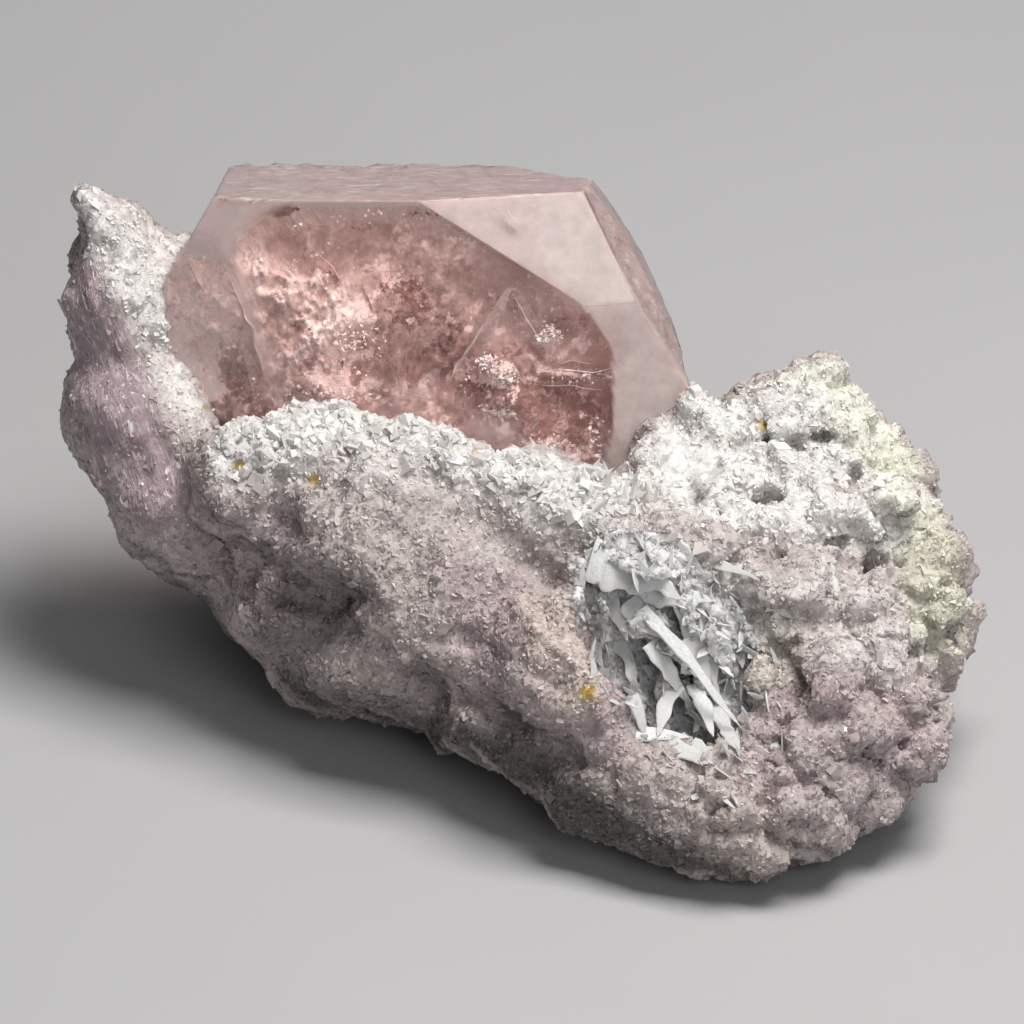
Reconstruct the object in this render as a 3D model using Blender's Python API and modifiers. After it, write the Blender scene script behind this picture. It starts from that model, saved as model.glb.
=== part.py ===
"""A morganite crystal standing in its matrix, with a hollow of cleavelandite blades.

Three solids: the crystal is a block cut down by its own face planes, the matrix is one
rock grown from round lumps, with a socket for the crystal and a hollow for the blades,
and the blades are one crust of thin plates that lines the hollow.

Most places are given in the display frame, in millimetres, because that is how the
specimen is meant to be looked at: right, up and toward are measured from a point near
its middle, on a sight line that comes down at DISPLAY_TILT degrees. The world frame has
+X to the right, +Z up and the specimen's flat foot at zero height.
"""
from math import cos, radians, sin

import bmesh
import bpy
import numpy as np
from mathutils import Matrix, Vector, noise

MM = 0.001
OBJECT_NAME = "morganite_on_matrix"
CRYSTAL_NAME = "morganite_crystal"
MATRIX_NAME = "mica_albite_matrix"
BLADES_NAME = "cleavelandite_blades"

# Driving dimensions of the whole specimen
DISPLAY_TILT = 30.0
MIDDLE_HEIGHT = 35.0
FIT_GAP = 0.3

# How the rock's skin is made: its grain in millimetres, its smoothing and its faces
VOXEL = 1.3
SOFTEN_FACTOR = 0.5
SOFTEN_STEPS = 3
BALL_SUBDIVISIONS = 3
MATRIX_FACES = 7000
MERGE_DISTANCE = 1e-7
CUT_TOLERANCE = 1e-5

# The crystal: a thick hexagonal plate, its front face turned a little down and left
CRYSTAL_THICKNESS = 25.0
FRONT_FACE_NORMAL = (-0.087, -0.191, 0.978)
FRONT_FACE_PLACE = (-20.2, 40.0, -6.0)
CORNER_SLOPE = 30.5
LEFT_SLOPE = 26.0
RIM_CHAMFER = 1.2
BLOCK = 200.0

# Thickness that is left where the crystal's back falls away, at the bright facet's high
# corner and at the right corner, and where that slope starts on the back
THICK_AT_BRIGHT = 19.0
THICK_AT_RIGHT = 7.0
THICK_AT_CORNER = 12.0
BACK_SLOPE_START = (-10.0, 22.0)

# Corners of the crystal's faces, right and up in the display frame
TOP_LEFT = (-27.8, 40.0)
TOP_RIGHT = (-11.8, 40.0)
BRIGHT_LOW = (9.2, 26.8)
BRIGHT_HIGH = (8.9, 41.2)
STRIP_MIDDLE = (16.0, 27.2)
RIGHT_CORNER = (22.4, 17.1)
RIGHT_FOOT = (17.4, 6.4)
RIGHT_CREASE = (12.8, 11.0)
LEFT_SHOULDER = (-37.5, 40.1)
LEFT_ARM = (-45.3, 26.8)
LEFT_CREASE_HIGH = (-35.9, 32.8)
LEFT_CREASE_LOW = (-28.6, 13.8)
LEFT_HIP = (-46.0, 22.5)
LEFT_FOOT = (-34.0, 2.0)
BURIED_LEFT = (-20.0, -6.0)
BURIED_RIGHT = (0.0, -6.0)

# Lumps of rock in the display frame: right, up and toward of the middle, then the half
# length, half width and half depth, and the turn of the length in the display plane
FRONT_LUMPS = {
    "horn": (-52.0, 36.5, -19.0, 7.0, 4.0, 6.0, 100),
    "wing_top": (-50.0, 27.5, -21.0, 14.0, 7.5, 9.0, 95),
    "wing_fill": (-42.5, 27.0, -25.0, 13.0, 6.0, 9.0, 105),
    "wing_low": (-46.5, 8.8, -22.0, 17.0, 10.5, 11.0, 108),
    "wing_foot": (-37.0, -3.0, -24.0, 15.0, 11.0, 12.0, -45),
    "lip_left": (-27.8, 5.0, -9.0, 15.0, 9.5, 8.0, 8),
    "lip_middle": (-11.5, 2.0, -6.0, 15.0, 10.0, 10.0, -15),
    "lip_right": (5.0, 0.5, -4.0, 15.0, 8.0, 9.0, -14),
    "front_bulge": (-9.0, -10.0, -6.0, 24.0, 13.0, 13.0, -35),
    "front_lobe": (8.5, -21.2, 4.0, 14.0, 10.0, 13.0, -45),
    "low_left": (-22.8, -11.2, -20.0, 16.0, 11.0, 15.0, -40),
    "under_left": (-14.0, -15.0, -22.0, 18.0, 9.0, 16.0, -20),
    "under_middle": (2.0, -28.0, -3.0, 14.0, 7.5, 12.0, -35),
    "low_front": (17.2, -33.5, 6.0, 15.0, 9.0, 12.0, -20),
    "toe": (29.0, -37.0, 9.0, 14.0, 8.0, 11.0, 5),
    "saddle": (21.0, -10.0, -6.0, 17.0, 15.0, 15.0, 0),
    "collar": (23.0, 12.5, -14.0, 4.5, 4.0, 5.0, 0),
    "ledge": (22.2, 7.5, -12.0, 9.0, 7.5, 9.0, 0),
    "right_core": (36.0, -10.0, -8.0, 21.0, 19.0, 17.0, -20),
    "right_top": (37.0, 8.5, -14.0, 14.0, 10.5, 12.0, -20),
    "right_low": (38.5, -27.5, 2.0, 15.0, 13.0, 14.0, 30),
}

# Lumps behind, in the world frame: X, Y, Z, then the half sizes along X, Y and Z
BACK_LUMPS = {
    "core": (0.0, 12.0, 17.0, 44.0, 24.0, 18.4),
    "crystal_bed": (-8.0, 33.0, 24.0, 36.0, 14.0, 20.0),
    "right_back": (30.0, 14.0, 16.0, 24.0, 22.0, 17.0),
    "left_back": (-30.0, 27.0, 13.0, 20.0, 16.0, 15.0),
}

# Knobs on the right mass: how many, their radii, and the seed that places them
KNOB_HOSTS = ("right_core", "right_top", "right_low", "saddle")
KNOB_COUNT = 90
KNOB_RADII = (2.0, 4.2)
KNOB_SINK = 0.25
SEED = 11

# Dents seen from the front: right, up, radius and depth
DENTS = (
    (38.5, 10.0, 3.4, 4.0), (42.5, 5.0, 3.0, 3.0), (32.2, 2.4, 3.0, 3.0),
    (44.5, -5.0, 3.4, 3.2), (39.6, -2.6, 2.8, 2.8), (28.6, -12.0, 3.6, 2.4),
    (42.2, -28.6, 2.2, 2.4), (44.8, -29.8, 2.0, 2.2), (-35.8, -6.4, 5.0, 3.4),
    (-22.6, -9.0, 5.0, 3.0), (-26.0, -14.6, 4.6, 2.6), (-28.0, 6.0, 2.8, 1.6),
    (-28.6, 0.0, 3.0, 2.2), (-10.0, -21.5, 3.2, 2.4), (-1.5, -25.5, 3.2, 2.8),
    (6.0, -29.8, 3.2, 2.8), (12.0, -33.4, 3.2, 2.2), (52.0, -1.0, 3.0, 2.0),
    (50.0, -12.0, 3.0, 2.4), (36.0, -20.0, 3.0, 2.0), (47.0, -21.0, 2.6, 2.4),
)

# The rock's outline as displayed, right and up, anticlockwise from the right
OUTLINE_CENTRE = (0.0, -3.0)
OUTLINE = (
    (57.0, -11.2), (56.2, -6.2), (54.1, -1.9), (54.0, 2.5), (50.4, 7.5), (47.2, 11.2),
    (43.5, 15.0), (39.8, 17.9), (35.4, 19.0), (30.4, 17.5), (29.1, 15.0), (26.0, 15.0),
    (23.5, 15.9), (15.0, 20.0), (0.0, 24.0), (-20.0, 27.0), (-36.0, 32.0), (-42.1, 37.2),
    (-45.2, 37.5), (-47.8, 38.8), (-50.2, 40.6), (-53.0, 42.2), (-55.2, 41.2),
    (-55.0, 36.2), (-56.9, 29.0), (-55.1, 22.5), (-56.8, 16.0), (-55.2, 8.8),
    (-51.5, 2.5), (-49.0, -3.1), (-45.2, -6.2), (-39.0, -10.0), (-35.2, -15.0),
    (-30.2, -18.1), (-26.5, -22.5), (-22.8, -24.0), (-10.2, -25.6), (-8.4, -28.1),
    (-4.0, -30.2), (1.0, -34.4), (11.0, -40.0), (17.2, -42.5), (23.5, -44.1),
    (28.5, -45.1), (33.5, -44.0), (36.0, -41.9), (42.2, -39.4), (49.1, -35.2),
    (52.2, -30.6), (54.1, -22.5), (56.6, -15.0),
)
OUTLINE_STEPS = 180
OUTLINE_SIDE_POINTS = 20

# How fast a dent fades out where the skin turns away from the viewer
DENT_FACING = 2.0

# Roughness of the rock: the size and the height of each scale of unevenness
ROUGHNESS = ((9.0, 1.5), (4.0, 0.9))

# The hollow in the display frame, given as a lump is, the lean of its mouth, the
# unevenness of its wall and the thickness of the crust that lines it
HOLLOW = (20.0, -17.0, 10.5, 17.5, 10.5, 7.5, -62)
HOLLOW_PITCH = 20.0
HOLLOW_UNEVEN = 0.16
HOLLOW_WAVE = 2.0
CRUST = 2.0

# Blades: the front edge's start and end, right and up, then the width and the lean.
# BLADE_REACH is a plate's half length over its edge's length, and likewise its width.
BLADE_THICKNESS = 0.9
BLADE_SINK = 0.6
BLADE_REACH = 0.6
BLADE_CORNERS = 6
BLADES = (
    (11.9, -5.5, 21.5, -7.9, 8.0, 60), (16.5, -11.8, 28.6, -26.1, 7.0, 25),
    (21.2, -9.1, 22.5, -16.5, 6.0, 20), (23.9, -11.5, 25.8, -20.4, 6.0, 55),
    (20.0, -18.4, 18.1, -24.6, 6.0, -20), (21.2, -21.2, 23.6, -26.2, 6.0, 20),
    (23.9, -21.8, 27.6, -29.1, 6.0, 30), (15.2, -21.2, 16.2, -25.9, 5.0, 10),
    (16.2, -25.9, 20.0, -25.6, 5.0, 45), (15.8, -3.1, 19.5, -6.5, 5.0, 30),
    (20.5, -3.6, 23.5, -6.2, 5.0, -30), (25.2, -9.4, 27.9, -7.9, 5.0, 10),
    (10.8, -8.9, 12.6, -12.2, 5.0, -20), (22.2, -28.5, 29.8, -32.2, 6.0, 40),
    (15.0, -11.2, 14.2, -14.6, 6.0, 50), (16.0, -15.0, 22.2, -18.5, 6.0, 55),
)

# Finishes: colour, roughness and metallic
CRYSTAL_FINISH = ((0.42, 0.20, 0.17, 1.0), 0.12, 0.0)
MATRIX_FINISH = ((0.62, 0.56, 0.60, 1.0), 0.65, 0.0)
BLADES_FINISH = ((0.70, 0.76, 0.74, 1.0), 0.35, 0.0)


def display_axes():
    """The display frame's right, up and toward directions, as a matrix's columns."""
    tilt = radians(DISPLAY_TILT)
    right = Vector((1.0, 0.0, 0.0))
    up = Vector((0.0, sin(tilt), cos(tilt)))
    toward = Vector((0.0, -cos(tilt), sin(tilt)))
    return Matrix((right, up, toward)).transposed()


def display_to_world():
    """The matrix from display millimetres to world metres."""
    place = Matrix.Translation((0.0, 0.0, MIDDLE_HEIGHT))
    return Matrix.Scale(MM, 4) @ place @ display_axes().to_4x4()


def new_collection(name):
    collection = bpy.data.collections.new(name)
    bpy.context.scene.collection.children.link(collection)
    return collection


def new_object(bm, name, collection):
    """An object in world metres from a bmesh in display millimetres."""
    mesh = bpy.data.meshes.new(name)
    bm.to_mesh(mesh)
    bm.free()
    mesh.transform(display_to_world())
    piece = bpy.data.objects.new(name, mesh)
    collection.objects.link(piece)
    return piece


def new_cutter(bm, name, collection):
    cutter = new_object(bm, name, collection)
    cutter.hide_render = True
    cutter.display_type = "WIRE"
    return cutter


def apply_modifiers(piece):
    graph = bpy.context.evaluated_depsgraph_get()
    mesh = bpy.data.meshes.new_from_object(piece.evaluated_get(graph), depsgraph=graph)
    piece.modifiers.clear()
    piece.data = mesh


def boolean(piece, other, operation):
    step = piece.modifiers.new(operation.lower(), "BOOLEAN")
    step.operation = operation
    step.solver = "EXACT"
    step.object = other
    apply_modifiers(piece)


def lump_matrix(right, up, toward, length, width, depth, roll):
    """Stretches, rolls and places a unit ball in the display frame."""
    turn = Matrix.Rotation(radians(roll), 4, "Z")
    size = Matrix.Diagonal((length, width, depth, 1.0))
    return Matrix.Translation((right, up, toward)) @ turn @ size


def back_lump_matrix(x, y, z, half_x, half_y, half_z):
    """Stretches and places a unit ball in the world frame, told in the display frame."""
    size = Matrix.Diagonal((half_x, half_y, half_z, 1.0))
    world = Matrix.Translation((x, y, z - MIDDLE_HEIGHT)) @ size
    return display_axes().to_4x4().inverted() @ world


def knob_matrices(draw):
    """Small balls half sunk in the skin of the lumps that carry knobs."""
    for number in range(KNOB_COUNT):
        host = FRONT_LUMPS[KNOB_HOSTS[number % len(KNOB_HOSTS)]]
        way = draw.normal(size=3)
        way[2] = abs(way[2])
        way /= np.linalg.norm(way)
        radius = draw.uniform(*KNOB_RADII)
        skin = lump_matrix(*host) @ Vector(way * (1.0 - KNOB_SINK * radius / host[4]))
        yield Matrix.Translation(skin) @ Matrix.Scale(radius, 4)


def grow_rock(collection):
    """All lumps joined in one skin by a voxel remesh, then smoothed."""
    bm = bmesh.new()
    balls = [lump_matrix(*lump) for lump in FRONT_LUMPS.values()]
    balls += [back_lump_matrix(*lump) for lump in BACK_LUMPS.values()]
    balls += list(knob_matrices(np.random.RandomState(SEED)))
    for ball in balls:
        bmesh.ops.create_icosphere(
            bm, subdivisions=BALL_SUBDIVISIONS, radius=1.0, matrix=ball)
    rock = new_object(bm, MATRIX_NAME, collection)
    skin = rock.modifiers.new("skin", "REMESH")
    skin.mode = "VOXEL"
    skin.voxel_size = VOXEL * MM
    soften = rock.modifiers.new("soften", "SMOOTH")
    soften.factor = SOFTEN_FACTOR
    soften.iterations = SOFTEN_STEPS
    apply_modifiers(rock)
    return rock


def read_points(mesh, kind):
    values = np.empty(len(mesh.vertices) * 3)
    if kind == "normals":
        mesh.vertex_normals.foreach_get("vector", values)
    else:
        mesh.vertices.foreach_get("co", values)
    return values.reshape(-1, 3)


def write_points(mesh, points):
    mesh.vertices.foreach_set("co", points.ravel())
    mesh.update()


def outline_reach(angles):
    """The outline's distance from OUTLINE_CENTRE along each angle."""
    corners = np.array(OUTLINE) - OUTLINE_CENTRE
    share = np.linspace(0.0, 1.0, OUTLINE_SIDE_POINTS, endpoint=False)[None, :, None]
    follow = np.roll(corners, -1, axis=0)
    points = (corners[:, None] * (1.0 - share) + follow[:, None] * share).reshape(-1, 2)
    bearing = np.arctan2(points[:, 1], points[:, 0])
    order = np.argsort(bearing)
    reach = np.hypot(points[:, 0], points[:, 1])
    return np.interp(angles, bearing[order], reach[order], period=2.0 * np.pi)


def trim_to_outline(rock):
    """Draws the rock in or out in the display plane until its widest reach along every
    angle is the outline's. The middle of the rock moves least."""
    to_world = np.array(display_to_world())
    to_display = np.linalg.inv(to_world)
    points = read_points(rock.data, "co")
    display = points @ to_display[:3, :3].T + to_display[:3, 3]
    flat = display[:, :2] - OUTLINE_CENTRE
    reach = np.hypot(flat[:, 0], flat[:, 1])
    angle = np.arctan2(flat[:, 1], flat[:, 0])
    sector = ((angle + np.pi) / (2.0 * np.pi) * OUTLINE_STEPS).astype(int) % OUTLINE_STEPS
    widest = np.zeros(OUTLINE_STEPS)
    np.maximum.at(widest, sector, reach)
    widest = (np.roll(widest, 1) + 2.0 * widest + np.roll(widest, -1)) / 4.0
    middles = (np.arange(OUTLINE_STEPS) + 0.5) / OUTLINE_STEPS * 2.0 * np.pi - np.pi
    here = np.interp(angle, middles, widest, period=2.0 * np.pi)
    ratio = outline_reach(angle) / here
    share = np.clip(reach / here, 0.0, 1.0) ** 2
    flat *= (1.0 + (ratio - 1.0) * share)[:, None]
    display[:, :2] = flat + OUTLINE_CENTRE
    write_points(rock.data, display @ to_world[:3, :3].T + to_world[:3, 3])


def roughen(rock):
    """Moves the skin along its normals: named dents, then two scales of unevenness."""
    axes = np.array(display_axes())
    points = read_points(rock.data, "co")
    normals = read_points(rock.data, "normals")
    middle = np.array((0.0, 0.0, MIDDLE_HEIGHT))
    display = (points / MM - middle) @ axes
    facing = np.clip(normals @ axes[:, 2] * DENT_FACING, 0.0, 1.0)
    height = np.zeros(len(points))
    for right, up, radius, depth in DENTS:
        away = np.hypot(display[:, 0] - right, display[:, 1] - up) / radius
        height -= depth * np.exp(-away ** 2) * facing
    for size, amount in ROUGHNESS:
        field = [noise.noise(Vector(place / size)) for place in points / MM]
        height += amount * np.array(field)
    write_points(rock.data, points + normals * height[:, None] * MM)


def thin_out(rock):
    """Fewer, larger faces that keep the shape."""
    fewer = rock.modifiers.new("fewer", "DECIMATE")
    rock.data.calc_loop_triangles()
    fewer.ratio = MATRIX_FACES / len(rock.data.loop_triangles)
    fewer.use_collapse_triangulate = True
    apply_modifiers(rock)


def keep_main_body(piece):
    """Deletes every loose island but the one with the most corners."""
    bm = bmesh.new()
    bm.from_mesh(piece.data)
    bmesh.ops.remove_doubles(bm, verts=bm.verts[:], dist=MERGE_DISTANCE)
    waiting = set(bm.verts)
    islands = []
    while waiting:
        seed = waiting.pop()
        island = {seed}
        edge_of_search = [seed]
        while edge_of_search:
            corner = edge_of_search.pop()
            for edge in corner.link_edges:
                other = edge.other_vert(corner)
                if other not in island:
                    island.add(other)
                    edge_of_search.append(other)
        waiting -= island
        islands.append(island)
    islands.sort(key=len)
    loose = [corner for island in islands[:-1] for corner in island]
    bmesh.ops.delete(bm, geom=loose, context="VERTS")
    bm.to_mesh(piece.data)
    bm.free()


def crystal_planes():
    """The crystal's face planes in the display frame, each a place and a normal."""
    axis = Vector(FRONT_FACE_NORMAL).normalized()
    front_place = Vector(FRONT_FACE_PLACE)

    def on_plane(flat, place, normal):
        """The corner on a plane that is displayed at a right and up place."""
        lift = normal.x * (flat[0] - place.x) + normal.y * (flat[1] - place.y)
        return Vector((flat[0], flat[1], place.z - lift / normal.z))

    def on_front(flat):
        return on_plane(flat, front_place, axis)

    def side(first, second):
        """A face along the axis through two corners, the rock's middle inside it."""
        normal = (second - first).cross(axis).normalized()
        return first, normal

    def slope(first, second, degrees):
        """A face through two front corners, leaning back from the front face."""
        return first, Matrix.Rotation(radians(degrees), 3, second - first) @ axis

    top = side(on_front(TOP_RIGHT), on_front(TOP_LEFT))
    bright = slope(on_front(BRIGHT_LOW), on_front(TOP_RIGHT), CORNER_SLOPE)
    strip_high = on_plane(BRIGHT_HIGH, *bright)
    strip_low = on_plane(STRIP_MIDDLE, *bright)
    right_high = side(strip_low, strip_high)
    crease = on_front(RIGHT_CREASE)
    low_normal = (strip_low - on_front(BRIGHT_LOW)).cross(crease - on_front(BRIGHT_LOW))
    right_low = on_front(BRIGHT_LOW), -low_normal.normalized()
    corner = on_plane(RIGHT_CORNER, *right_low)
    foot = on_plane(RIGHT_FOOT, *right_low)
    left_side = side(on_front(LEFT_SHOULDER), on_front(LEFT_ARM))
    left_high = on_front(LEFT_CREASE_HIGH)
    faces = [
        (front_place, axis),
        (front_place - axis * CRYSTAL_THICKNESS, -axis),
        top,
        bright,
        right_high,
        right_low,
        side(foot, corner),
        side(on_front(BURIED_LEFT), on_front(BURIED_RIGHT)),
        side(on_front(LEFT_HIP), on_front(LEFT_FOOT)),
        left_side,
        slope(on_front(TOP_LEFT), left_high, LEFT_SLOPE),
        slope(left_high, on_front(LEFT_CREASE_LOW), LEFT_SLOPE),
    ]
    for place, normal in (top, left_side):
        rim = place - axis * (CRYSTAL_THICKNESS + (place - front_place).dot(axis))
        faces.append((rim - normal * RIM_CHAMFER, (normal - axis).normalized()))
    bend = on_front(BACK_SLOPE_START) - axis * CRYSTAL_THICKNESS
    high = on_front(BRIGHT_HIGH) - axis * THICK_AT_BRIGHT
    low = on_front(RIGHT_CORNER) - axis * THICK_AT_RIGHT
    faces.append((bend, (high - bend).cross(low - bend).normalized()))
    blunt = on_front(BRIGHT_HIGH) - axis * THICK_AT_CORNER
    faces.append((blunt, (top[1] + right_high[1] - axis).normalized()))
    return faces


def cut_crystal(gap):
    """A block cut by every face plane, each moved outwards by the gap."""
    bm = bmesh.new()
    bmesh.ops.create_cube(bm, size=BLOCK)
    for place, normal in crystal_planes():
        everything = bm.verts[:] + bm.edges[:] + bm.faces[:]
        cut = bmesh.ops.bisect_plane(
            bm, geom=everything, dist=CUT_TOLERANCE, plane_co=place + normal * gap,
            plane_no=normal, clear_outer=True,
        )
        rim = [part for part in cut["geom_cut"] if isinstance(part, bmesh.types.BMEdge)]
        bmesh.ops.holes_fill(bm, edges=rim, sides=0)
    bmesh.ops.recalc_face_normals(bm, faces=bm.faces[:])
    return bm


def hollow_ball(shrink, lift):
    """The hollow's uneven ball, made smaller all round and moved toward the viewer."""
    right, up, toward, length, width, depth, roll = HOLLOW
    lean = Matrix.Rotation(radians(HOLLOW_PITCH), 4, "X")
    place = Matrix.Translation((right, up, toward + lift))
    ball = lump_matrix(0, 0, 0, length - shrink, width - shrink, depth - shrink, roll)
    bm = bmesh.new()
    bmesh.ops.create_icosphere(bm, subdivisions=BALL_SUBDIVISIONS, radius=1.0)
    for corner in bm.verts:
        corner.co *= 1.0 + HOLLOW_UNEVEN * noise.noise(corner.co * HOLLOW_WAVE)
    bmesh.ops.transform(bm, matrix=place @ lean @ ball, verts=bm.verts[:])
    return bm


def blade(start_right, start_up, end_right, end_up, width, lean):
    """A thin six-cornered plate whose front edge runs from start to end; its face
    turns by the lean about that edge, and the plate runs back into the hollow."""

    def at_mouth(right, up):
        rise = (up - HOLLOW[1]) * sin(radians(HOLLOW_PITCH)) / cos(radians(HOLLOW_PITCH))
        return Vector((right, up, HOLLOW[2] + rise - BLADE_SINK))

    start = at_mouth(start_right, start_up)
    along = at_mouth(end_right, end_up) - start
    length = along.length
    along.normalize()
    side = along.cross(Vector((0.0, 0.0, -1.0))).normalized()
    back = Matrix.Rotation(radians(lean), 3, along) @ side.cross(along)
    across = along.cross(back)
    middle = start + along * length / 2.0 + back * width / 2.0
    frame = Matrix((along, back, across)).transposed().to_4x4()
    size = Matrix.Diagonal((length * BLADE_REACH, width * BLADE_REACH, BLADE_THICKNESS, 1.0))
    bm = bmesh.new()
    bmesh.ops.create_cone(
        bm, cap_ends=True, segments=BLADE_CORNERS, radius1=1.0, radius2=1.0, depth=1.0,
        matrix=Matrix.Translation(middle) @ frame @ size,
    )
    return bm


def build_blades(collection, cutters):
    """The crust: blades joined, clipped to the hollow and joined to its lining."""
    plates = [new_cutter(blade(*row), f"blade_{i}", cutters) for i, row in enumerate(BLADES)]
    bunch = plates.pop(0)
    for plate in plates:
        boolean(bunch, plate, "UNION")
    boolean(bunch, new_cutter(hollow_ball(FIT_GAP, 0.0), "hollow_room", cutters), "INTERSECT")
    crust = new_object(hollow_ball(FIT_GAP, 0.0), BLADES_NAME, collection)
    inside = new_cutter(hollow_ball(FIT_GAP, CRUST), "hollow_inside", cutters)
    boolean(crust, inside, "DIFFERENCE")
    boolean(crust, bunch, "UNION")
    keep_main_body(crust)
    return crust


def build_matrix(collection, cutters):
    """The rock: grown, trimmed, roughened, then cut for its foot, socket and hollow."""
    rock = grow_rock(collection)
    trim_to_outline(rock)
    roughen(rock)
    thin_out(rock)
    floor = bmesh.new()
    below = display_to_world().inverted() @ Matrix.Translation((0.0, 0.0, -BLOCK * MM / 2))
    bmesh.ops.create_cube(floor, size=BLOCK * MM, matrix=below)
    boolean(rock, new_cutter(floor, "floor_cut", cutters), "DIFFERENCE")
    boolean(rock, new_cutter(cut_crystal(FIT_GAP), "crystal_socket", cutters), "DIFFERENCE")
    boolean(rock, new_cutter(hollow_ball(0.0, 0.0), "blade_hollow", cutters), "DIFFERENCE")
    keep_main_body(rock)
    return rock


def build_crystal(collection):
    return new_object(cut_crystal(0.0), CRYSTAL_NAME, collection)


def centre_on_foot(pieces, cutters):
    """Moves everything so the middle of its box stands over the origin."""
    corners = np.vstack([read_points(piece.data, "co") for piece in pieces])
    low = corners.min(axis=0)
    high = corners.max(axis=0)
    shift = Matrix.Translation((-(low[0] + high[0]) / 2, -(low[1] + high[1]) / 2, -low[2]))
    for thing in pieces + list(cutters.objects):
        thing.data.transform(shift)


def finish(piece, colour, roughness, metallic):
    material = bpy.data.materials.new(piece.name)
    material.use_nodes = True
    shader = material.node_tree.nodes["Principled BSDF"]
    shader.inputs["Base Color"].default_value = colour
    shader.inputs["Roughness"].default_value = roughness
    shader.inputs["Metallic"].default_value = metallic
    piece.data.materials.clear()
    piece.data.materials.append(material)


def main():
    for thing in list(bpy.data.objects):
        bpy.data.objects.remove(thing)
    specimen = new_collection(OBJECT_NAME)
    cutters = new_collection("cutters")
    rock = build_matrix(specimen, cutters)
    crystal = build_crystal(specimen)
    blades = build_blades(specimen, cutters)
    centre_on_foot([rock, crystal, blades], cutters)
    finish(rock, *MATRIX_FINISH)
    finish(crystal, *CRYSTAL_FINISH)
    finish(blades, *BLADES_FINISH)


main()
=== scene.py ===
"""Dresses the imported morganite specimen: its rock, its crystal and its hollow of blades.

Places on the front are told in the display frame, in millimetres: right, up and toward
the viewer from a point near the specimen's middle. The drawn lines and outlines of zones
are told in pixels of the reference picture, which is PICTURE_SIDE pixels wide.
"""

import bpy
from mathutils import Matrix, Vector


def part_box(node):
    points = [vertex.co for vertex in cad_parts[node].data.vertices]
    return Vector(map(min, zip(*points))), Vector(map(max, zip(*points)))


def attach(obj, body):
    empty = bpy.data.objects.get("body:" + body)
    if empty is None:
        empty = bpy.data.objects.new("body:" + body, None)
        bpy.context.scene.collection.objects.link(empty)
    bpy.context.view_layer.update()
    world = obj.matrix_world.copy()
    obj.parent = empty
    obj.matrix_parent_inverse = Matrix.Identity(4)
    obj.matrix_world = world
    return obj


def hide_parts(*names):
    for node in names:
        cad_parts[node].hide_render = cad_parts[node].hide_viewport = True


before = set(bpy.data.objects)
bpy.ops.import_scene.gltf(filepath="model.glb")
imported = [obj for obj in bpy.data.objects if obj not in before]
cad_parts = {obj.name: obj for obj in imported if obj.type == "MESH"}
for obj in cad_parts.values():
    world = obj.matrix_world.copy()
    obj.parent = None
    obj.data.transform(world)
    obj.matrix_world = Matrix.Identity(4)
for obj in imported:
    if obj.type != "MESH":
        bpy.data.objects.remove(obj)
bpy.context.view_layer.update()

from math import ceil, cos, radians, sin

import bmesh
import bpy
import numpy as np
from bpy.props import FloatProperty, FloatVectorProperty, IntProperty, PointerProperty
from mathutils import Vector

bl_info = {
    "name": "Morganite on matrix",
    "version": (1, 0, 0),
    "blender": (4, 5, 0),
    "location": "3D View > Sidebar > Morganite",
    "description": "Fine surfaces and materials for a morganite crystal on its matrix",
    "category": "Add Mesh",
}

MM = 0.001
ROCK_NODE = "mica_albite_matrix"
CRYSTAL_NODE = "morganite_crystal"
BLADES_NODE = "cleavelandite_blades"

# The display frame: its tilt, and where the crystal's lowest box corner is in row
# directions from its middle, which places that middle in the row frame
DISPLAY_TILT = radians(30.0)
CRYSTAL_LOW = np.array((-46.37, 7.49, -21.2))
AXES = np.array((
    (1.0, 0.0, 0.0),
    (0.0, sin(DISPLAY_TILT), cos(DISPLAY_TILT)),
    (0.0, -cos(DISPLAY_TILT), sin(DISPLAY_TILT)),
))
MIDDLE = np.array(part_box(CRYSTAL_NODE)[0]) / MM - CRYSTAL_LOW

# The reference picture: its side, its scale and the pixel of the display middle
PICTURE_SIDE = 1024
PIXELS_PER_MM = 8.0
MIDDLE_PIXEL = (512.0, 520.0)

# The crystal's front face in the display frame: toward = base + slopes times right and up
FRONT_BASE = -11.99
FRONT_RIGHT_SLOPE = 0.089
FRONT_UP_SLOPE = 0.195


def length_setting(name, default, description):
    return FloatProperty(name=name, description=description, default=default,
                         unit="LENGTH", subtype="DISTANCE")


def count_setting(name, default, description):
    return IntProperty(name=name, description=description, default=default, min=0)


def plain_setting(name, default, description):
    return FloatProperty(name=name, description=description, default=default)


def colour_setting(name, default, description):
    return FloatVectorProperty(name=name, description=description, default=default,
                               subtype="COLOR", min=0.0, max=1.0)


class RockSettings(bpy.types.PropertyGroup):
    spacing: length_setting(
        "Skin spacing", 0.62e-3, "Distance between the points of the rock's skin")
    knob_height: length_setting(
        "Knob height", 4.2e-3, "Height of the knobs on the right mass")
    grain_height: length_setting(
        "Grain height", 0.42e-3, "Height of the fine grains all over")
    pit_depth: length_setting(
        "Pit depth", 2.2e-3, "Depth of the small pits on the right mass")
    lavender: colour_setting(
        "Lavender", (0.40, 0.305, 0.325), "Colour of the fine mica")
    white: colour_setting(
        "White", (0.74, 0.715, 0.69), "Colour of the drusy albite")
    middling: colour_setting(
        "Middling", (0.49, 0.42, 0.402), "Colour of mica and albite mixed")
    green: colour_setting("Green", (0.76, 0.77, 0.60), "Tint along the right rim")
    # Painted shade: a dark colour laid under the bulge, in the recess below its ridge and on
    # faces that point down, where shade falls
    grey: colour_setting("Grey", (0.06, 0.054, 0.05), "Colour of the underside")
    stain: colour_setting("Stain", (0.74, 0.63, 0.53), "Colour of the rusty stain")
    yellow: colour_setting(
        "Yellow", (0.62, 0.42, 0.10), "Colour of the few yellow grains")


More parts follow.
